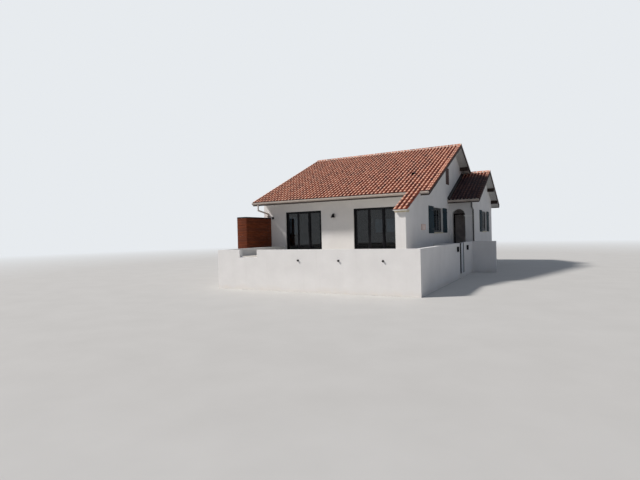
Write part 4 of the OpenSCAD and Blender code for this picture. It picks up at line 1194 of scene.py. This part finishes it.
def screen_boards():
    """Level boards on three sides of the screen, with posts behind the two long sides."""
    low, high = SCREEN_Z, SCREEN_Z + BOARD_PITCH - 0.0005
    boards = (
        block((SCREEN_X0 + 0.001, SCREEN_FRONT, low),
              (SCREEN_X1 - 0.001, SCREEN_FRONT + BOARD_T, high)),
        block((SCREEN_X0, SCREEN_FRONT + 0.001, low), (SCREEN_X0 + BOARD_T, FRONT_Y, high)),
        block((SCREEN_X1 - BOARD_T, SCREEN_FRONT + 0.001, low), (SCREEN_X1, FRONT_Y, high)))
    post_side = 0.05
    post = softened(block((0, 0, SCREEN_Z), (post_side, post_side, SCREEN_TOP - 0.03)), 0.004)
    post_places = [
        at(x, y, 0) for x in (SCREEN_X0 + BOARD_T, SCREEN_X1 - BOARD_T - post_side)
        for y in (SCREEN_FRONT + BOARD_T, SCREEN_FRONT + 1.05, FRONT_Y - 0.06)]
    sides = [repeated(softened(board, 0.006), BOARD_COUNT, (0, 0, BOARD_PITCH))
             for board in boards]
    return joined([*sides, set_out(post, post_places)])


def screen_top():
    """Boards across the screen's top, notched round the downpipe."""
    count = 18
    width = SCREEN_DEPTH / count
    x0, x1 = SCREEN_X0 + EDGE_T, SCREEN_X1 - EDGE_T

    def board(xa, xb, ya, yb):
        top = SCREEN_TOP - 0.004
        return softened(block((xa, ya, top - EDGE_T), (xb, yb, top)), 0.004)

    first = board(x0, x1, SCREEN_FRONT + EDGE_T, SCREEN_FRONT + width - 0.001)
    second = board(x0, x1, SCREEN_FRONT + width, SCREEN_FRONT + 2 * width - 0.0005)
    middle = repeated(second, count - 2, (0, width, 0))
    beside_pipe = [board(xa, xb, FRONT_Y - width, FRONT_Y) for xa, xb in (
        (x0, FRONT_PIPE_X - PIPE_NOTCH), (FRONT_PIPE_X + PIPE_NOTCH, x1))]
    return joined([first, middle, *beside_pipe])


def screen_capping():
    """A folded metal edge round three sides of the screen's top."""
    low, high = SCREEN_TOP - CAPPING_H, SCREEN_TOP
    y = SCREEN_FRONT + EDGE_T
    strips = (block((SCREEN_X0, SCREEN_FRONT, low), (SCREEN_X1, y, high)),
              block((SCREEN_X0, y - 0.0005, low), (SCREEN_X0 + EDGE_T, FRONT_Y, high)),
              block((SCREEN_X1 - EDGE_T, y - 0.0005, low), (SCREEN_X1, FRONT_Y, high)))
    return joined([softened(strip, 0.003) for strip in strips])


finished(screen_capping(), "screen_capping", frame_black, 30)
finished(joined([screen_boards(), screen_top()]), "screen_boards", stained_boards, 30,
         stands_for=("timber_screen",))


# Lamps

CONE_LAMP_X, CONE_LAMP_Z = -0.145, 3.08
SPOT_LAMP_X, SPOT_LAMP_Z = -3.825, 3.19
GATE_LAMP_YS, GATE_LAMP_TOP = (-5.41, -3.01), 1.52


def cone_lamp():
    """A hollow shade under a cap, on a short arm from its wall plate."""
    r = 0.110
    shade = rod((0, -r, 0), (0, -r, 0.160), r, 32, closed=False)
    resized(shade, lambda co: co.z > 0.1, (0.30, 0.30, 1), (0, -r, 0))
    thickened(shade, 0.003)
    cap = softened(rod((0, -r, 0.150), (0, -r, 0.180), 0.034, 24), 0.006)
    arm = rod((0, -r, 0.163), (0, -0.010, 0.163), 0.012, 16)
    plate = softened(rod((0, -0.018, 0.150), (0, 0, 0.150), 0.050, 32), 0.005)
    return joined([shade, cap, arm, plate])


def spot_lamp():
    """A round can on a square base, with both its ends sunk behind a rim."""
    y = -0.061
    base = softened(block((-0.050, -0.025, -0.050), (0.050, 0, 0.050)), 0.006)
    can = rod((0, y, -0.065), (0, y, 0.065), 0.0395, 28)
    sunk(can, lambda normal: abs(normal.z) > 0.9, (0.006, 0), (0.004, -0.018),
         use_individual=True)
    return joined([base, softened(can, 0.002)])


def box_lamp():
    """A box with a sunk face towards X, under a slightly deeper hood."""
    box = block((0, -0.060, -0.240), (0.085, 0.060, 0))
    sunk(box, lambda normal: normal.x > 0.9, (0.014, 0), (0.003, -0.012))
    hood = softened(block((0, -0.0595, -0.014), (0.090, 0.0595, 0)), 0.003)
    return joined([softened(box, 0.003), hood])


lamps = joined([
    placed(cone_lamp(), at(CONE_LAMP_X, FRONT_Y, CONE_LAMP_Z)),
    placed(spot_lamp(), at(SPOT_LAMP_X, FRONT_Y, SPOT_LAMP_Z)),
    set_out(box_lamp(), [at(WING_X, y, GATE_LAMP_TOP) for y in GATE_LAMP_YS])])
finished(lamps, "black_wall_lamps", lamp_black, 40, stands_for=("wall_lamps",))


# Roof vent, spout collars and plaque

VENT_X, VENT_Y = 3.535, -4.900
SPOUT_PITCH = 1.770


def hooded_vent():
    """A half-round hood that opens down the slope, over vanes and a flashing plate."""
    hood = rod((0, -0.115, 0), (0, 0.125, 0), 0.085, 24, closed=False)
    cut_off(hood, (0, 0, 0), (0, 0, -1), closed=False)
    resized(hood, lambda co: co.y > 0.1, (0.8, 1, 0.25))
    thickened(hood, 0.004)
    back = softened(block((-0.074, 0.020, 0.0), (0.074, 0.024, 0.052)), 0.001)
    vane = softened(block((-0.078, -0.090, 0.010), (0.078, -0.070, 0.014)), 0.001)
    vanes = repeated(vane, 4, (0, 0.004, 0.015))
    plate = softened(block((-0.088, -0.125, -0.004), (0.088, 0.128, 0.002)), 0.002)
    roof_z = EAVE_Z + (VENT_Y + EAVE_Y) * TAN
    return placed(joined([hood, back, vanes, plate]), on_slope(VENT_X, VENT_Y, roof_z))


finished(hooded_vent(), "hooded_roof_vent", lamp_black, 40, stands_for=("roof_vent",))


def spout_collars():
    """Rings round the mouths of the terrace's three drain spouts."""
    x, y, z = GABLE_X - 0.120, TERRACE_FRONT, FLOOR_Z - 0.110
    collar = rod((x, y - 0.008, z), (x, y, z), 0.042, 28)
    pierced(collar, lambda normal: abs(normal.y) > 0.9, 0.013, use_individual=True)
    return repeated(softened(collar, 0.002), 3, (-SPOUT_PITCH, 0, 0))


finished(spout_collars(), "spout_collars", lamp_black, 40)


def house_plaque():
    """A bare plaque with a raised border on the right wall."""
    plate = block((GABLE_X, -6.97, 2.33), (GABLE_X + 0.016, -6.25, 2.60))
    sunk(plate, lambda normal: normal.x > 0.9, (0.022, 0), (0.005, -0.006))
    return softened(plate, 0.003)


finished(house_plaque(), "bare_plaque", plaque_clay, 30)


# Floor, light and camera

def studio_floor():
    """A pale floor that fades into the backdrop far from the house."""
    clear_selection()
    bpy.ops.mesh.primitive_circle_add(
        vertices=128, radius=150, fill_type="NGON", location=(0, 0, -0.002))
    floor = settle(bpy.context.object)
    floor.name = "studio_floor"
    f = Finish("pale_floor", 0.9)
    f.coloured(f.mixed(
        f.between(f.noise(0.8, 3), 0.3, 0.7), (0.57, 0.56, 0.54), (0.60, 0.59, 0.57)))
    far = f.node("ShaderNodeVectorMath", {0: f.place}, operation="LENGTH").outputs["Value"]
    haze = f.node("ShaderNodeEmission", {"Color": BACKDROP, "Strength": 1.0})
    share = f.math("MULTIPLY", f.sees_backdrop(), f.between(far, 22, 70))
    f.surface_of(share, f.shader.outputs["BSDF"], haze.outputs["Emission"])
    floor.data.materials.append(f.material)


def studio_world():
    """A pale blue light from all sides, which itself is seen as a plain backdrop."""
    world = bpy.data.worlds.new("studio")
    bpy.context.scene.world = world
    world.use_nodes = True
    w = Nodes(world.node_tree)
    fill = w.tree.nodes["Background"]
    w.feed(fill.inputs["Color"], FILL_COLOUR)
    w.feed(fill.inputs["Strength"], FILL_STRENGTH)
    backdrop = w.node("ShaderNodeBackground", {"Color": BACKDROP, "Strength": 1.0})
    w.surface_of(w.sees_backdrop(), fill.outputs["Background"], backdrop.outputs["Background"])


def key_light():
    """A soft sun from the front left."""
    clear_selection()
    bpy.ops.object.light_add(type="SUN", location=(0, 0, 20))
    sun = bpy.context.object
    sun.name = "key_light"
    sun.data.energy = SUN_STRENGTH
    sun.data.color = SUN_COLOUR
    sun.data.angle = math.radians(SUN_SOFTNESS)
    sun.rotation_mode = "QUATERNION"
    sun.rotation_quaternion = Vector(SUN_TOWARDS).to_track_quat("-Z", "Y")


def photo_camera():
    """The camera of the photo, as worked out from the house's own lines."""
    clear_selection()
    bpy.ops.object.camera_add(location=CAMERA_PLACE)
    camera = bpy.context.object
    camera.name = "photo_camera"
    camera.data.sensor_width = SENSOR_W
    camera.data.lens = LENS
    camera.data.clip_end = 500
    aim = Matrix.Identity(3)
    for degrees, axis in ((CAMERA_YAW, "Z"), (90 + CAMERA_PITCH, "X"), (CAMERA_ROLL, "Z")):
        aim = aim @ Matrix.Rotation(math.radians(degrees), 3, axis)
    camera.rotation_euler = aim.to_euler()
    bpy.context.scene.camera = camera


studio_floor()
studio_world()
key_light()
photo_camera()
bpy.context.scene.view_settings.view_transform = "Standard"
